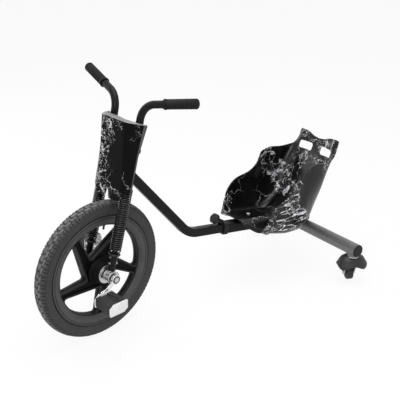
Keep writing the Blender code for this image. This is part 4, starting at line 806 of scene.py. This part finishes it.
def make_tyre():
    """Carcass with sidewall rings, and rows of tread blocks."""
    side, lip = TYRE_HALF_WIDTH, RIM_HALF_WIDTH
    foot = lip - FLANGE_WIDTH - GAP
    half = [(BEAD_RADIUS + GAP, foot), (RIM_EDGE + GAP, foot), (RIM_EDGE + GAP, lip - 0.0044),
            (RIM_EDGE + 0.0012, lip - 0.0040), (0.1668, lip - 0.0005), (0.1680, side - 0.0034),
            (0.1700, side - 0.0020), (0.1715, side - 0.0022), (0.1735, side - 0.0013),
            (0.1770, side - 0.0006), (0.1800, side - 0.0007), (0.1815, side), (0.1850, side - 0.0002),
            (0.1885, side - 0.0007)]
    half += [(WHEEL_RADIUS - drop - GROOVE_DEPTH, x) for x, drop in CROWN_PROFILE[-2:0:-1]]
    inner = [(BEAD_RADIUS + GAP, TYRE_WALL - foot), (WHEEL_RADIUS - 0.022, TYRE_WALL - side),
             (WHEEL_RADIUS - 0.0085, -0.45 * side)]
    carcass = turned_mesh(mirrored(half, [(WHEEL_RADIUS - GROOVE_DEPTH, 0.0)]) + mirrored(inner), 144, 50)
    show("tyre_carcass", carcass, TURNED_AXLE, "tyre_rubber", WHEEL_BODY, "tyre")

    verts, faces = [], []
    pitch = 2 * pi / TREAD_PITCHES
    for i in range(TREAD_PITCHES):
        a = i * pitch
        blocks = [tread_block(a, a + 0.78 * pitch, -0.0046, 0.0046, 0.16 * pitch, 3)]
        for s in (1, -1):
            offset = a + (0.5 if s > 0 else 0.0) * pitch
            for start, end, low, high, slant, steps in SIDE_BLOCKS:
                blocks.append(tread_block(offset + start * pitch, offset + end * pitch, s * low, s * high,
                                          s * slant * pitch, steps))
        for points, corners in blocks:
            faces += [tuple(len(verts) + corner for corner in face) for face in corners]
            verts += points
    show("tyre_tread", soften(mesh_from(verts, faces), 40), AXLE, "tyre_rubber", WHEEL_BODY)


def bar_end(radius, steps, half_width, y, z):
    """The points of a circle that a bar towards (y, z) leaves free, in order round it."""
    free = [p for p in circle(0, 0, radius, steps)
            if p.x * y + p.y * z < 0 or abs(p.x * z - p.y * y) / hypot(y, z) > half_width]
    turn = atan2(z, y)
    return sorted(free, key=lambda p: (atan2(p.y, p.x) - turn) % (2 * pi))


def make_hub():
    """Crank axle's flanges, cranks and pedals."""
    face = CRANK_OFFSET + CRANK_THICKNESS
    bore = circle(0, 0, AXLE_RADIUS + GAP)
    outlines = [circle(0, 0, HUB_FLANGE_RADIUS, 72), bore]
    outlines += [circle(*spot.xy, FLANGE_HOLE, 20) for spot in circle(0, 0, HUB_FLANGE_RADIUS * 0.62, 4)]
    for name, side in SIDES.items():
        flange = plate_mesh(outlines, HUB_FLANGE_THICKNESS, 0.0005)
        place = AXLE @ move(side * (HUB_HALF_WIDTH + GAP + HUB_FLANGE_THICKNESS / 2), 0, 0) @ UPRIGHT
        show(name + "_flange_plate", flange, place, "zinc_plate", WHEEL_BODY, name + "_hub_flange")
        y, z = -side * CRANK_FORWARD, -side * CRANK_DROP
        eye = [p + Vector((y, z, 0)) for p in bar_end(CRANK_EYE_RADIUS, 60, 0.0056, -y, -z)]
        outline = bar_end(CRANK_BOSS_RADIUS, 72, 0.0060, y, z) + eye
        arm = plate_mesh([outline, bore, circle(y, z, SPINDLE_RADIUS + GAP, 24)], CRANK_THICKNESS, 0.0012)
        cap = turned_mesh(((0.0112, 0.0004), (0.0108, 0.0012), (0.0088, 0.0012), (0.0082, 0.0004)), 40)
        show(name + "_axle_cap", cap, AXLE @ move(side * face, 0, 0) @ sideways(side), "black_plastic",
             WHEEL_BODY)
        show(name + "_crank_arm", arm, AXLE @ move(side * (face - CRANK_THICKNESS / 2), 0, 0) @ UPRIGHT,
             "chrome", WHEEL_BODY, name + "_crank")
        make_pedal(name, AXLE @ move(0, y, z) @ sideways(side))


def make_pedal(name, pivot):
    """Pale end plates on a barrel, and the black body with its waist and ribs."""
    body = name + "_pedal"
    end = PEDAL_START + PEDAL_LENGTH
    half_x, half_y = PEDAL_HEIGHT / 2, PEDAL_DEPTH / 2
    bore = SPINDLE_RADIUS + GAP
    profile = ((0, end - 0.001), (PEDAL_BARREL, end - 0.001), (PEDAL_BARREL, PEDAL_START + 0.001),
               (bore, PEDAL_START + 0.001), (bore, end - 0.01), (0, end - 0.01))
    barrel = show(body + "_frame", turned_mesh(profile, 32), pivot, "pale_plastic", body, body + "_cage")
    bevel(barrel, 0.0005)
    half = [(-half_x, -half_y + 0.013, 0), (-half_x + 0.009, -half_y, 0), (half_x - 0.003, -half_y, 0),
            (half_x, -half_y + 0.003, 0)]
    shape = rounded(half + [(-x, -y, 0) for x, y, _ in half], 0.0014, 4, closed=True)
    for index, start in enumerate((PEDAL_START, end - PEDAL_PLATE)):
        plate = show(body + "_plate_" + str(index), plate_mesh([shape], PEDAL_PLATE, 0.0007),
                     pivot @ move(0, 0, start + PEDAL_PLATE / 2), "pale_plastic", body)
        if index == 0:
            boolean(plate, rod(bore, 0.01, -0.01, 24), pivot @ move(0, 0, start))
    z0, z1 = PEDAL_START + PEDAL_PLATE + GAP, end - PEDAL_PLATE - GAP
    x1, y1 = half_x - TREAD_INSET, half_y - TREAD_INSET
    parts = []
    for face in (-1, 1):
        # Two waisted bars along the spindle, and cross ribs on them
        outline = [Vector((z0, face * 0.010, 0)), Vector((z0, face * y1, 0)), Vector((z1, face * y1, 0)),
                   Vector((z1, face * 0.010, 0)), Vector(((z0 + z1) / 2, face * 0.0155, 0))]
        bar = plate_mesh([outline[::face]], 2 * (x1 - RIB_HEIGHT / 2), 0.0012)
        for v in bar.vertices:
            v.co = v.co.zyx
        parts.append(bar)
        for k in range(PEDAL_RIBS):
            z = z0 + 0.004 + k * (z1 - z0 - 0.008) / (PEDAL_RIBS - 1)
            for level in (-1, 1):
                parts.append(block_mesh((level * (x1 - RIB_HEIGHT), face * 0.0175, z - 0.0012),
                                        (level * x1, face * (y1 - 0.0015), z + 0.0012)))
    for level in (-1, 1):
        # The sloped web between the bars and the barrel
        for face in (-1, 1):
            parts.append(block_mesh((level * 0.004, face * 0.0065, z0), (level * 0.0105, face * 0.0165, z1)))
    bore = PEDAL_BARREL + GAP
    parts.append(turned_mesh(((0.0112, z1), (0.0112, z0), (bore, z0), (bore, z1)), 32))
    show(body + "_body", joined(parts), pivot, "rubber", body, body + "_tread")


# Fork, bars, shield

def coil_route(bottom, top):
    """A spring's wire, with a short straight lead bent into the turns at each end."""
    lead = bend = 2 * WIRE_RADIUS
    turn = bend / COIL_RADIUS
    points = COIL_TURNS * POINTS_A_TURN
    start = bottom + lead + bend
    rise = (top - lead - bend - start) / points
    last = turn + 2 * pi * COIL_TURNS
    spots = [(0, bottom), (0, bottom + lead), (turn * (1 - cos(pi / 4)), bottom + lead + bend * sin(pi / 4))]
    spots += [(turn + 2 * pi * i / POINTS_A_TURN, start + rise * i) for i in range(points + 1)]
    spots += [(last + turn * cos(pi / 4), top - lead - bend * sin(pi / 4)), (last + turn, top - lead),
              (last + turn, top)]
    return [Vector((COIL_RADIUS * cos(angle), COIL_RADIUS * sin(angle), height)) for angle, height in spots]


def grip_profile():
    """A domed outer end, a seam, three grooves, and a ring at the inner end."""
    length, r = GRIP_LENGTH, GRIP_RADIUS
    bends = [pi / 2 * k / 8 for k in range(9)]
    profile = [(r * sin(bend) ** 0.75, length - GRIP_DOME * (1 - cos(bend))) for bend in bends]
    profile += [(r, length - 0.0085), (r - 0.0006, length - 0.0090), (r - 0.0006, length - 0.0102),
                (r, length - 0.0107)]
    for k in range(3):
        z = 0.0150 - 0.0026 * k
        profile += [(r, z + 0.0006), (r - 0.0005, z), (r - 0.0005, z - 0.0006), (r, z - 0.0012)]
    return profile + [(r, 0.0055), (r + 0.0006, 0.0042), (GRIP_RING - 0.0003, 0.0034), (GRIP_RING, 0.0026),
                      (GRIP_RING, 0.0008), (GRIP_RING - 0.0006, 0), (BAR_RADIUS + GAP, 0),
                      (BAR_RADIUS + GAP, length - GRIP_CAP), (0, length - GRIP_CAP)]


def make_leg(name, side):
    """A fork leg with its spring, its handlebar and grip, and its axle carrier."""
    foot = FORK @ move(side * LEG_SPACING, -FORK_OFFSET, 0)
    # The leg is thinner inside the spring, between its collar and the lower crown
    collar_top = COLLAR_BOTTOM + COLLAR_HEIGHT
    low, high, slim = collar_top + 0.001, LOWER_CROWN_BOTTOM - 0.001, LEG_RADIUS - LEG_WAIST
    tube = ring_profile(LEG_RADIUS, slim - LEG_WALL, LEG_BOTTOM, LEG_TOP)
    waist = ((LEG_RADIUS, high), (slim, high - 0.001), (slim, low + 0.001), (LEG_RADIUS, low))
    leg = turned_mesh(tube[:2] + waist + tube[2:], 48)
    show(name + "_leg_tube", leg, foot, "black_paint", "fork", name + "_fork_leg")
    collar = turned_mesh(ring_profile(COLLAR_RADIUS, LEG_RADIUS + GAP, COLLAR_BOTTOM, collar_top), 48)
    show(name + "_spring_seat", collar, foot, "black_plastic", "fork", name + "_spring_collar")
    coil = tube_mesh(coil_route(collar_top + GAP, LOWER_CROWN_BOTTOM - GAP), WIRE_RADIUS, 3)
    show(name + "_coil", coil, foot, "spring_paint", "fork", name + "_spring")

    start = Vector((side * LEG_SPACING, -FORK_OFFSET, LEG_TOP + GAP))
    bend = Vector((side * LEG_SPACING, -FORK_OFFSET - BAR_CORNER_FORWARD, BAR_CORNER_HEIGHT))
    outer = Vector((side * BAR_END.x, BAR_END.y, BAR_END.z))
    along = (outer - bend).normalized()
    route = rounded((start, start + Vector((0, 0, BAR_STRAIGHT)), bend, outer - along * (GRIP_CAP + GAP)),
                    (0, 0, BAR_BEND, 0), 28)
    show(name + "_bar", tube_mesh(route, BAR_RADIUS, 8), FORK, "black_paint", "fork", name + "_handlebar")
    place = FORK @ facing(outer - along * GRIP_LENGTH, along)
    grip = turned_mesh(grip_profile(), 64, 50)
    show(name + "_foam_grip", grip, place, "grip_foam", "fork", name + "_grip")

    face, inner, r, bore = CARRIER_OUTER, CARRIER_INNER, CARRIER_RADIUS, AXLE_RADIUS + 0.002
    lip, bearing = face - CARRIER_LIP_WIDTH, face - BEARING_WIDTH - GAP
    profile = ((CARRIER_LIP - 0.0006, face), (CARRIER_LIP, face - 0.0006), (CARRIER_LIP, lip), (r, lip),
               (r, inner + 0.0008), (r - 0.0008, inner), (bore, inner), (bore, bearing),
               (BEARING_RADIUS + GAP, bearing), (BEARING_RADIUS + GAP, face - 0.0005),
               (BEARING_RADIUS + 0.0008, face))
    place = FORK @ move(0, -FORK_OFFSET, 0) @ sideways(side)
    carrier = show(name + "_dropout", turned_mesh(profile, 64), place, "zinc_plate", "fork",
                   name + "_axle_carrier")
    plug = rod(LEG_RADIUS - LEG_WALL - GAP, CARRIER_PLUG_TOP, CARRIER_RADIUS - 0.003, 40)
    boolean(carrier, plug, foot, "UNION")


def shield_row(height):
    low = max([h for h in SHIELD_HEIGHTS[:-1] if h <= height])
    high = SHIELD_HEIGHTS[SHIELD_HEIGHTS.index(low) + 1]
    share = (height - low) / (high - low)
    pairs = zip(from_mm(SHIELD_SECTIONS[low]), from_mm(SHIELD_SECTIONS[high]))
    return [Vector(a).lerp(Vector(b), share) for a, b in pairs]


def make_shield():
    """The moulded panel with its bare side strips and inward lip, its notch and its screw holes."""
    low, high = SHIELD_HEIGHTS[0], SHIELD_HEIGHTS[-1]
    sheet = [[Vector((p.x, p.y - FORK_OFFSET, height)) for p in shield_row(height)]
             for height in SHIELD_HEIGHTS]
    for point, rise in zip(sheet[0], SHIELD_CUT):
        point.z += rise
    lip = [sheet[-1]]
    for share, rise in ((0.35, 0.0030), (0.75, 0.0050), (1.0, 0.0056)):
        row = []
        for point, reach in zip(sheet[-1], LIP_REACH):
            inward = Vector((-point.x, -point.y - FORK_OFFSET, 0)).normalized() * reach * share
            height = high + rise * min(1, reach / 0.012)
            row.append(Vector((max(0, point.x + inward.x), point.y + inward.y, height)))
        lip.append(row)
    mesh = soften(faced(sheet_mesh(both_halves(lip)), (0, 0, 1)), 60)
    # The lip is painted pale grey as a painted reflection.
    thicken(show("shield_lip", mesh, FORK, "lip_painted_reflection", "fork"), SHIELD_WALL)
    # The bare strip along each side edge has no print
    for name, side in SIDES.items():
        strip = sheet_mesh([[Vector((side * p.x, p.y, p.z)) for p in row[-2:]] for row in sheet])
        mesh = soften(faced(strip, (side, 0, 0)), 60)
        thicken(show(name + "_shield_edge", mesh, FORK, "wheel_plastic", "fork"), SHIELD_WALL)
    mesh = faced(sheet_mesh(both_halves([row[:-1] for row in sheet])), (0, -1, 0))
    shield = show("shield_panel", mesh, FORK, "shield_gloss", "fork", "shield")
    thicken(shield, SHIELD_WALL)
    corners = ((-NOTCH_HALF_WIDTH, low - 0.01, 0), (NOTCH_HALF_WIDTH, low - 0.01, 0),
               (0.002, NOTCH_TOP, 0), (-0.002, NOTCH_TOP, 0))
    notch = rounded(corners, (0, 0, 0.0015, 0.0015), 4, closed=True)
    boolean(shield, plate_mesh([notch], 0.06), FORK @ move(0, -0.045, 0) @ FRONT)
    for bottom in (LOWER_CROWN_BOTTOM, UPPER_CROWN_BOTTOM):
        middle = bottom + CROWN_THICKNESS / 2
        place = FORK @ move(0, shield_row(middle)[0].y - FORK_OFFSET, middle) @ FRONT
        boolean(shield, rod(SCREW_HOLE, 0.01, -0.01, 24), place)
    soften(shield.data, 12)
    bevel(shield, 0.0009, 3, 9)


def make_crowns():
    for name, bottom in (("lower", LOWER_CROWN_BOTTOM), ("upper", UPPER_CROWN_BOTTOM)):
        nose = shield_row(bottom)[0].y + 1.1 * SHIELD_WALL + GAP - FORK_OFFSET
        legs = [(side * LEG_SPACING, -FORK_OFFSET) for side in SIDES.values()]
        rounds = [(0, 0, CROWN_STEERER_RADIUS), (0, nose + CROWN_NOSE_RADIUS, CROWN_NOSE_RADIUS)]
        outline = hull([(*leg, CROWN_LEG_RADIUS) for leg in legs] + rounds)
        holes = [circle(*leg, LEG_RADIUS + GAP) for leg in legs] + [circle(0, 0, STEERER_RADIUS + GAP)]
        crown = plate_mesh([outline, *holes], CROWN_THICKNESS, 0.0011)
        place = FORK @ move(0, 0, bottom + CROWN_THICKNESS / 2)
        show(name + "_crown_plate", crown, place, "black_paint", "fork", name + "_crown")


# Frame

def weld_route():
    """Points where the square tube's outline meets the head tube's surface, about 1.6 mm apart."""
    out = Vector((0, cos(TUBE_SLOPE), -sin(TUBE_SLOPE)))
    across = Vector((0, sin(TUBE_SLOPE), cos(TUBE_SLOPE)))
    axis = Vector((0, sin(RAKE), cos(RAKE)))
    d = out - axis * out.dot(axis)
    ring = []
    for p in square(TUBE_SIDE, TUBE_CORNER, 8):
        offset = Vector((p.x, 0, 0)) + across * p.y
        m = offset - axis * offset.dot(axis)
        a, b, c = d.dot(d), 2 * d.dot(m), m.dot(m) - (HEAD_TUBE_RADIUS + 0.0002) ** 2
        ring.append(JOINT + offset + out * ((-b + (b * b - 4 * a * c) ** 0.5) / (2 * a)))
    dense = []
    for p, q in zip(ring, ring[1:] + ring[:1]):
        steps = max(1, int((q - p).length / 0.0016))
        dense += [p.lerp(q, k / steps) for k in range(steps)]
    return dense


def make_frame():
    profile = ring_profile(HEAD_TUBE_RADIUS, HEAD_TUBE_RADIUS - HEAD_TUBE_WALL, HEAD_BOTTOM, HEAD_TOP)
    show("head_tube_round", turned_mesh(profile, 64), HEAD, "black_paint", "frame", "head_tube")
    for name, start, end in (("lower", LOWER_CROWN_TOP + GAP, HEAD_BOTTOM - GAP),
                             ("upper", HEAD_TOP + GAP, UPPER_CROWN_BOTTOM - GAP)):
        cup = turned_mesh(ring_profile(CUP_RADIUS, STEERER_RADIUS + GAP, start, end, 0.0012), 64)
        show(name + "_cup", cup, HEAD, "zinc_plate", "frame", name + "_headset_cup")
    tail = TUBE_BEND_CORNER + Vector((0, cos(RUN_SLOPE), -sin(RUN_SLOPE))) * TUBE_END
    route = rounded((JOINT, TUBE_BEND_CORNER, tail), TUBE_BEND, 24)
    section = curve_object([square(TUBE_SIDE, TUBE_CORNER)], True, "2D")
    tube = curve_mesh([route], False, "3D", twist_mode="Z_UP", bevel_mode="OBJECT", bevel_object=section,
                      use_fill_caps=True)
    bpy.data.objects.remove(section)
    bar = show("frame_tube", tube, ROOT, "black_paint", "frame", "main_tube")
    boolean(bar, rod(HEAD_TUBE_RADIUS - 0.001, HEAD_TOP + 0.03, HEAD_BOTTOM - 0.03, 64), HEAD)
    weld = curve_mesh([weld_route()], True, "3D", radii=(0.82, 1.0), bevel_depth=WELD_RADIUS,
                      bevel_resolution=3)
    show("head_weld", weld, ROOT, "black_paint", "frame")


# Rear carriage

def make_sleeve():
    """The square sleeve, its front collar with the knob's boss, and the lobed knob on its stud."""
    hole = square(TUBE_SIDE + 2 * GAP, TUBE_CORNER)
    sleeve = plate_mesh([square(SLEEVE_SIDE, SLEEVE_CORNER), hole], SLEEVE_LENGTH, 0.0006)
    show("sleeve_tube", sleeve, RUN @ move(0, SLEEVE_START + SLEEVE_LENGTH / 2, 0) @ BACK, "black_paint",
         "carriage", "sleeve")
    start = SLEEVE_START - END_COLLAR_LIP
    outer = SLEEVE_SIDE + 2 * GAP + 2 * END_COLLAR_WALL
    block = plate_mesh([square(outer, SLEEVE_CORNER + END_COLLAR_WALL)], END_COLLAR_LENGTH, 0.0012)
    place = RUN @ move(0, start + END_COLLAR_LENGTH / 2, 0) @ BACK
    collar = show("clamp_collar", block, place, "wall_plastic", "carriage", "sleeve_collar")
    stud = RUN @ move(0, KNOB_PLACE, 0) @ rotate(KNOB_TILT, "X")
    r = KNOB_BOSS_RADIUS
    boss = turned_mesh(((0, KNOB_BOSS_TOP), (r - 0.0008, KNOB_BOSS_TOP), (r, KNOB_BOSS_TOP - 0.0008),
                        (r, 0.036), (0, 0.036)), 40)
    boolean(collar, boss, stud, "UNION")
    boolean(collar, plate_mesh([hole], 0.10), RUN @ move(0, start, 0) @ BACK)
    pocket = plate_mesh([square(SLEEVE_SIDE + 2 * GAP, SLEEVE_CORNER)], 0.04)
    boolean(collar, pocket, RUN @ move(0, SLEEVE_START - GAP + 0.02, 0) @ BACK)

    lobes = []
    for angle in [2 * pi * i / 120 for i in range(120)]:
        reach = KNOB_RADIUS - 0.0005 * (1 - cos(KNOB_LOBES * angle))
        lobes.append(Vector((reach * cos(angle), reach * sin(angle), 0)))
    base = KNOB_BOSS_TOP + GAP
    top = stud @ move(0, 0, base + KNOB_HEIGHT)
    knob = show("lobed_knob", plate_mesh([lobes], KNOB_HEIGHT, 0.0048), top @ move(0, 0, -KNOB_HEIGHT / 2),
                "wall_plastic", "knob", "clamp_knob")
    tip = TUBE_SIDE / 2 / cos(KNOB_TILT) + STUD_RADIUS * tan(KNOB_TILT) + GAP
    boolean(knob, rod(STUD_RADIUS, base + 0.004, tip, 24), stud, "UNION")
    dish = turned_mesh(((0, 0.004), (0.0085, 0.004), (0.0080, -0.0012), (0, -0.0012)), 48)
    boolean(knob, dish, top)
    cap = turned_mesh(((0, 0.0010), (0.0040, 0.0009), (0.0056, 0.0004), (0.0062, -0.0014), (0, -0.0014)), 48)
    show("knob_cap", cap, top @ move(0, 0, -0.0012), "wall_plastic", "knob")


def make_cross_tube():
    """The tube with a low housing under each end for the caster's pin, and a plastic cap in each end."""
    r, reach = CROSS_RADIUS, HOUSING_X + HOUSING_RADIUS - 0.0035
    tube = turned_mesh(mirrored([(0, reach), (r - 0.0008, reach), (r, reach - 0.0008)]), 72)
    # The tube and its housings take the lighter copy of the black paint, which is painted light.
    bar = show("cross_tube", tube, CARRIAGE @ sideways(1), "cross_tube_painted_light", "carriage", "rear_cross_tube")
    h = HOUSING_RADIUS - 0.0020
    for name, side in SIDES.items():
        spot = CARRIAGE @ move(side * HOUSING_X, 0, 0)
        housing = turned_mesh(((0, 0), (h, 0), (h, -HOUSING_BOTTOM + 0.0006), (h - 0.0006, -HOUSING_BOTTOM),
                               (0, -HOUSING_BOTTOM)), 64)
        boolean(bar, housing, spot, "UNION")
        boolean(bar, rod(KINGPIN_RADIUS + GAP, 0.009, -0.03, 32), spot)
        bends = [pi / 2 * k / 6 for k in range(7)]
        edge = [(r - 0.0030 * (1 - sin(bend)), 0.0005 + 0.0030 * cos(bend)) for bend in bends]
        cap = turned_mesh([(0, 0.0036), (r * 0.5, 0.0036), *edge, (r, 0.0003), (0, 0.0003)], 64)
        show(name + "_tube_cap", cap, CARRIAGE @ move(side * reach, 0, 0) @ sideways(side), "wall_plastic",
             "carriage")


def between(values, rows):
    """Smooth values between the given ones that never overshoot them."""
    steps = [b - a for a, b in zip(values, values[1:])]
    slopes = [steps[0]]
    for before, after in zip(steps, steps[1:]):
        slopes.append(0 if before * after <= 0 else 2 * before * after / (before + after))
    slopes.append(steps[-1])
    result = []
    for index, (start, end) in enumerate(zip(values, values[1:])):
        for t in [row / rows for row in range(rows)]:
            result.append(start * (1 + 2 * t) * (1 - t) ** 2 + end * t * t * (3 - 2 * t)
                          + slopes[index] * t * (1 - t) ** 2 - slopes[index + 1] * t * t * (1 - t))
    return result + [values[-1]]


def all_between(points, rows):
    """Smooth points between the given ones."""
    return [Vector(values) for values in zip(*(between(values, rows) for values in zip(*points)))]


def seat_control():
    lift = (SLEEVE_SIDE / 2 + BRACKET_THICKNESS + 2 * GAP + SEAT_WALL) / cos(RUN_SLOPE)
    rows = []
    for (x, y, z), *outer in SEAT_STATIONS:
        if z is None:
            z = TUBE_BEND_CORNER.z - (y - TUBE_BEND_CORNER.y) * tan(RUN_SLOPE) + lift
        ridge = min(RIDGE_HALF_WIDTH, outer[0][0] / 2)
        rows.append([Vector(point) for point in ((x, y, z), (ridge, y, z), *outer)])
    for share, point in zip(CREST_SHARES, rows[-1]):
        point.z += BACK_CREST * share
    return rows


def make_seat():
    """The bucket seat's moulded shell with its rounded rim and two hand holes."""
    stations = [all_between(column, SEAT_ROWS) for column in zip(*seat_control())]
    sheet = both_halves([all_between(row, SEAT_COLUMNS) for row in zip(*stations)])
    seat = show("seat_shell", faced(sheet_mesh(sheet), (0, 0, 1)), ROOT, "seat_gloss", "carriage", "seat")
    thicken(seat, SEAT_WALL)
    place = ROOT @ move(0, SEAT_STATIONS[-2][0][1], HAND_HOLE_Z) @ FRONT
    half_width, half_height = HAND_HOLE_WIDTH / 2, HAND_HOLE_HEIGHT / 2
    shape = rectangle(HAND_HOLE_X - half_width, -half_height, HAND_HOLE_X + half_width, half_height,
                      HAND_HOLE_CORNER, 8)
    for side in SIDES.values():
        outline = [Vector((side * p.x, p.y, 0)) for p in shape]
        boolean(seat, plate_mesh([outline[::side]], 0.10), place)
    soften(seat.data, 45)
    bevel(seat, 0.0015, 3, 50)


def hood_mesh():
    """A flared dome, squarish towards its edge, which arches between the four corners."""
    points = ((HOOD_FLAT, 0), (HOOD_FLAT + 0.010, -0.007), (HOOD_RADIUS - 0.005, -0.020),
              (HOOD_RADIUS, -HOOD_DEPTH + 0.006), (HOOD_RADIUS - 0.002, -HOOD_DEPTH))
    wall = HOOD_WALL
    skin = [(0, 0)] + all_between(points, 5)
    inner = [(r - wall * (z <= -0.0005), z - wall * (z > wall - HOOD_DEPTH)) for r, z in skin]
    inner = [(r, z) for r, z in inner if z >= -HOOD_DEPTH]
    inner[-1] = (skin[-1][0] - wall, -HOOD_DEPTH)
    mesh = turned_mesh([(r * HOOD_ACROSS, z) for r, z in skin + inner[::-1]], 96)
    power = HOOD_SQUARENESS
    for v in mesh.vertices:
        turn, share = atan2(v.co.y, v.co.x), min(1.0, -v.co.z / HOOD_DEPTH)
        squared = (abs(cos(turn)) ** power + abs(sin(turn)) ** power) ** (-1 / power)
        v.co.xy *= 1 + (squared - 1) * share
        v.co.z += HOOD_ARCH * share ** 2 * cos(2 * turn) ** 2
    mesh.transform(Matrix.Diagonal((1, HOOD_ALONG / HOOD_ACROSS, 1, 1)))
    return mesh


def make_caster(name, side):
    body = name + "_caster"
    swivel = CARRIAGE @ move(side * HOUSING_X, 0, -HOUSING_BOTTOM) @ rotate(side * CASTER_TURN, "Z")
    top = -GAP - CASTER_FLANGE - GAP
    hood = show(name + "_hood_shell", hood_mesh(), swivel @ move(0, HOOD_CENTRE, top), "hood_plastic", body,
                body + "_hood")
    boolean(hood, rod(KINGPIN_RADIUS + GAP, 0.02, -0.02, 32), swivel @ move(0, 0, top))
    bevel(hood, 0.0006, angle=50)
    radius, half, hub = CASTER_WHEEL_RADIUS, CASTER_WHEEL_HALF_WIDTH, CASTER_HUB_HALF_WIDTH
    profile = [(0.0087, hub), (0.0095, hub - 0.0008), (0.0098, half - 0.001), (0.0125, half - 0.0022),
               (radius - 0.0070, half - 0.0022), (radius - 0.0055, half - 0.0006),
               (radius - 0.0030, half - 0.0010)]
    profile += [(radius - 0.0026 * (1 - sin(a)), half - 0.0012 - 0.0040 * (1 - cos(a)))
                for a in [pi / 2 * k / 5 for k in range(1, 6)]]
    wheel = turned_mesh(mirrored(profile) + [(CASTER_PIN + GAP, -hub), (CASTER_PIN + GAP, hub)], 72)
    spin = swivel @ move(0, CASTER_TRAIL, radius - swivel.translation.z) @ sideways(1)
    show(name + "_roller", wheel, spin, "rubber", body + "_roller", body + "_wheel")


def finish_cad():
    """Give every CAD piece that still shows its procedural material."""
    plain = {"gloss_black_plastic": "hood_plastic"}
    for entry in frame["record"]["subparts"]:
        obj, slot = frame["nodes"][entry["node"]], entry["material_slot"]
        made = MATERIALS[plain.get(slot, slot)]
        if not obj.material_slots:
            obj.data.materials.append(made)
        for place in obj.material_slots:
            place.material = made


# Stage, light and camera

def seen_directly(n):
    """Whether a ray comes from the camera or off a glossy or clear surface."""
    path = n.add("ShaderNodeLightPath").outputs
    return n.higher(n.higher(path["Is Camera Ray"], path["Is Glossy Ray"]), path["Is Transmission Ray"])


def make_stage():
    """A pale floor that looks almost white to the camera."""
    reach = 40.0
    floor = linked("floor", mesh_from([(-reach, -reach, 0), (reach, -reach, 0), (reach, reach, 0),
                                       (-reach, reach, 0)], [(0, 1, 2, 3)]))
    floor.location.z = min(0.0, CAD_BOX[0].z) - 0.0002
    n = material("floor")
    pale = n.add("ShaderNodeBsdfDiffuse", {"Color": (0.88, 0.88, 0.88, 1)})
    glow = n.add("ShaderNodeEmission", {"Color": (1, 1, 1, 1), "Strength": 1.0})
    share = n.times(seen_directly(n), 0.90)
    blend = n.add("ShaderNodeMixShader", {0: share, 1: pale.outputs[0], 2: glow.outputs[0]})
    n.put(blend.outputs[0], n.tree.nodes["Material Output"].inputs["Surface"])
    floor.data.materials.append(n.owner)


def make_world():
    """White surroundings that light the object less than they show."""
    n = Nodes(bpy.data.worlds.new("studio"))
    bpy.context.scene.world = n.owner
    back = n.tree.nodes["Background"].inputs
    n.put((1, 1, 1, 1), back["Color"])
    n.put(n.spread(seen_directly(n), 0.0, 1.0, 0.55, 1.0), back["Strength"])


def soft_light(name, place, target, width, height, power):
    data = bpy.data.lights.new(name, "AREA")
    data.shape = "RECTANGLE"
    data.size, data.size_y, data.energy = width, height, power
    light = linked(name, data)
    light.location = place
    light.rotation_euler = (Vector(target) - Vector(place)).to_track_quat("-Z", "Y").to_euler()


def make_camera():
    """The camera solved from the photo."""
    turn, rise, roll = radians(53.806), radians(23.410), radians(-0.1885)
    back = Vector((sin(turn) * cos(rise), -cos(turn) * cos(rise), sin(rise)))
    right = Vector((cos(turn), sin(turn), 0))
    up = back.cross(right).normalized()
    right, up = cos(roll) * right + sin(roll) * up, -sin(roll) * right + cos(roll) * up
    place = Vector((0, 0.3542 + SHIFT_Y, 0.3188 + SHIFT_Z)) + back * 2.3622
    camera = linked("camera", bpy.data.cameras.new("camera"))
    camera.matrix_world = Matrix.Translation(place) @ Matrix((right, up, back)).transposed().to_4x4()
    camera.data.lens, camera.data.sensor_width = 71.65, 36.0
    camera.data.clip_start = 0.01
    bpy.context.scene.camera = camera


make_camera()
make_wheel()
make_tyre()
make_hub()
for side_name, side_sign in SIDES.items():
    make_leg(side_name, side_sign)
make_shield()
make_crowns()
make_frame()
make_sleeve()
make_cross_tube()
make_seat()
for side_name, side_sign in SIDES.items():
    make_caster(side_name, side_sign)
finish_cad()
make_stage()
make_world()
soft_light("overhead", (0.2, 0.1, 2.6), (0, 0, 0.2), 2.2, 1.6, 38)
soft_light("key", (1.9, -1.6, 1.9), (0, -0.1, 0.3), 1.4, 1.4, 22)
soft_light("fill", (-2.2, -0.6, 1.2), (0, 0, 0.3), 1.6, 1.6, 12)
bpy.context.scene.view_settings.view_transform = "Standard"
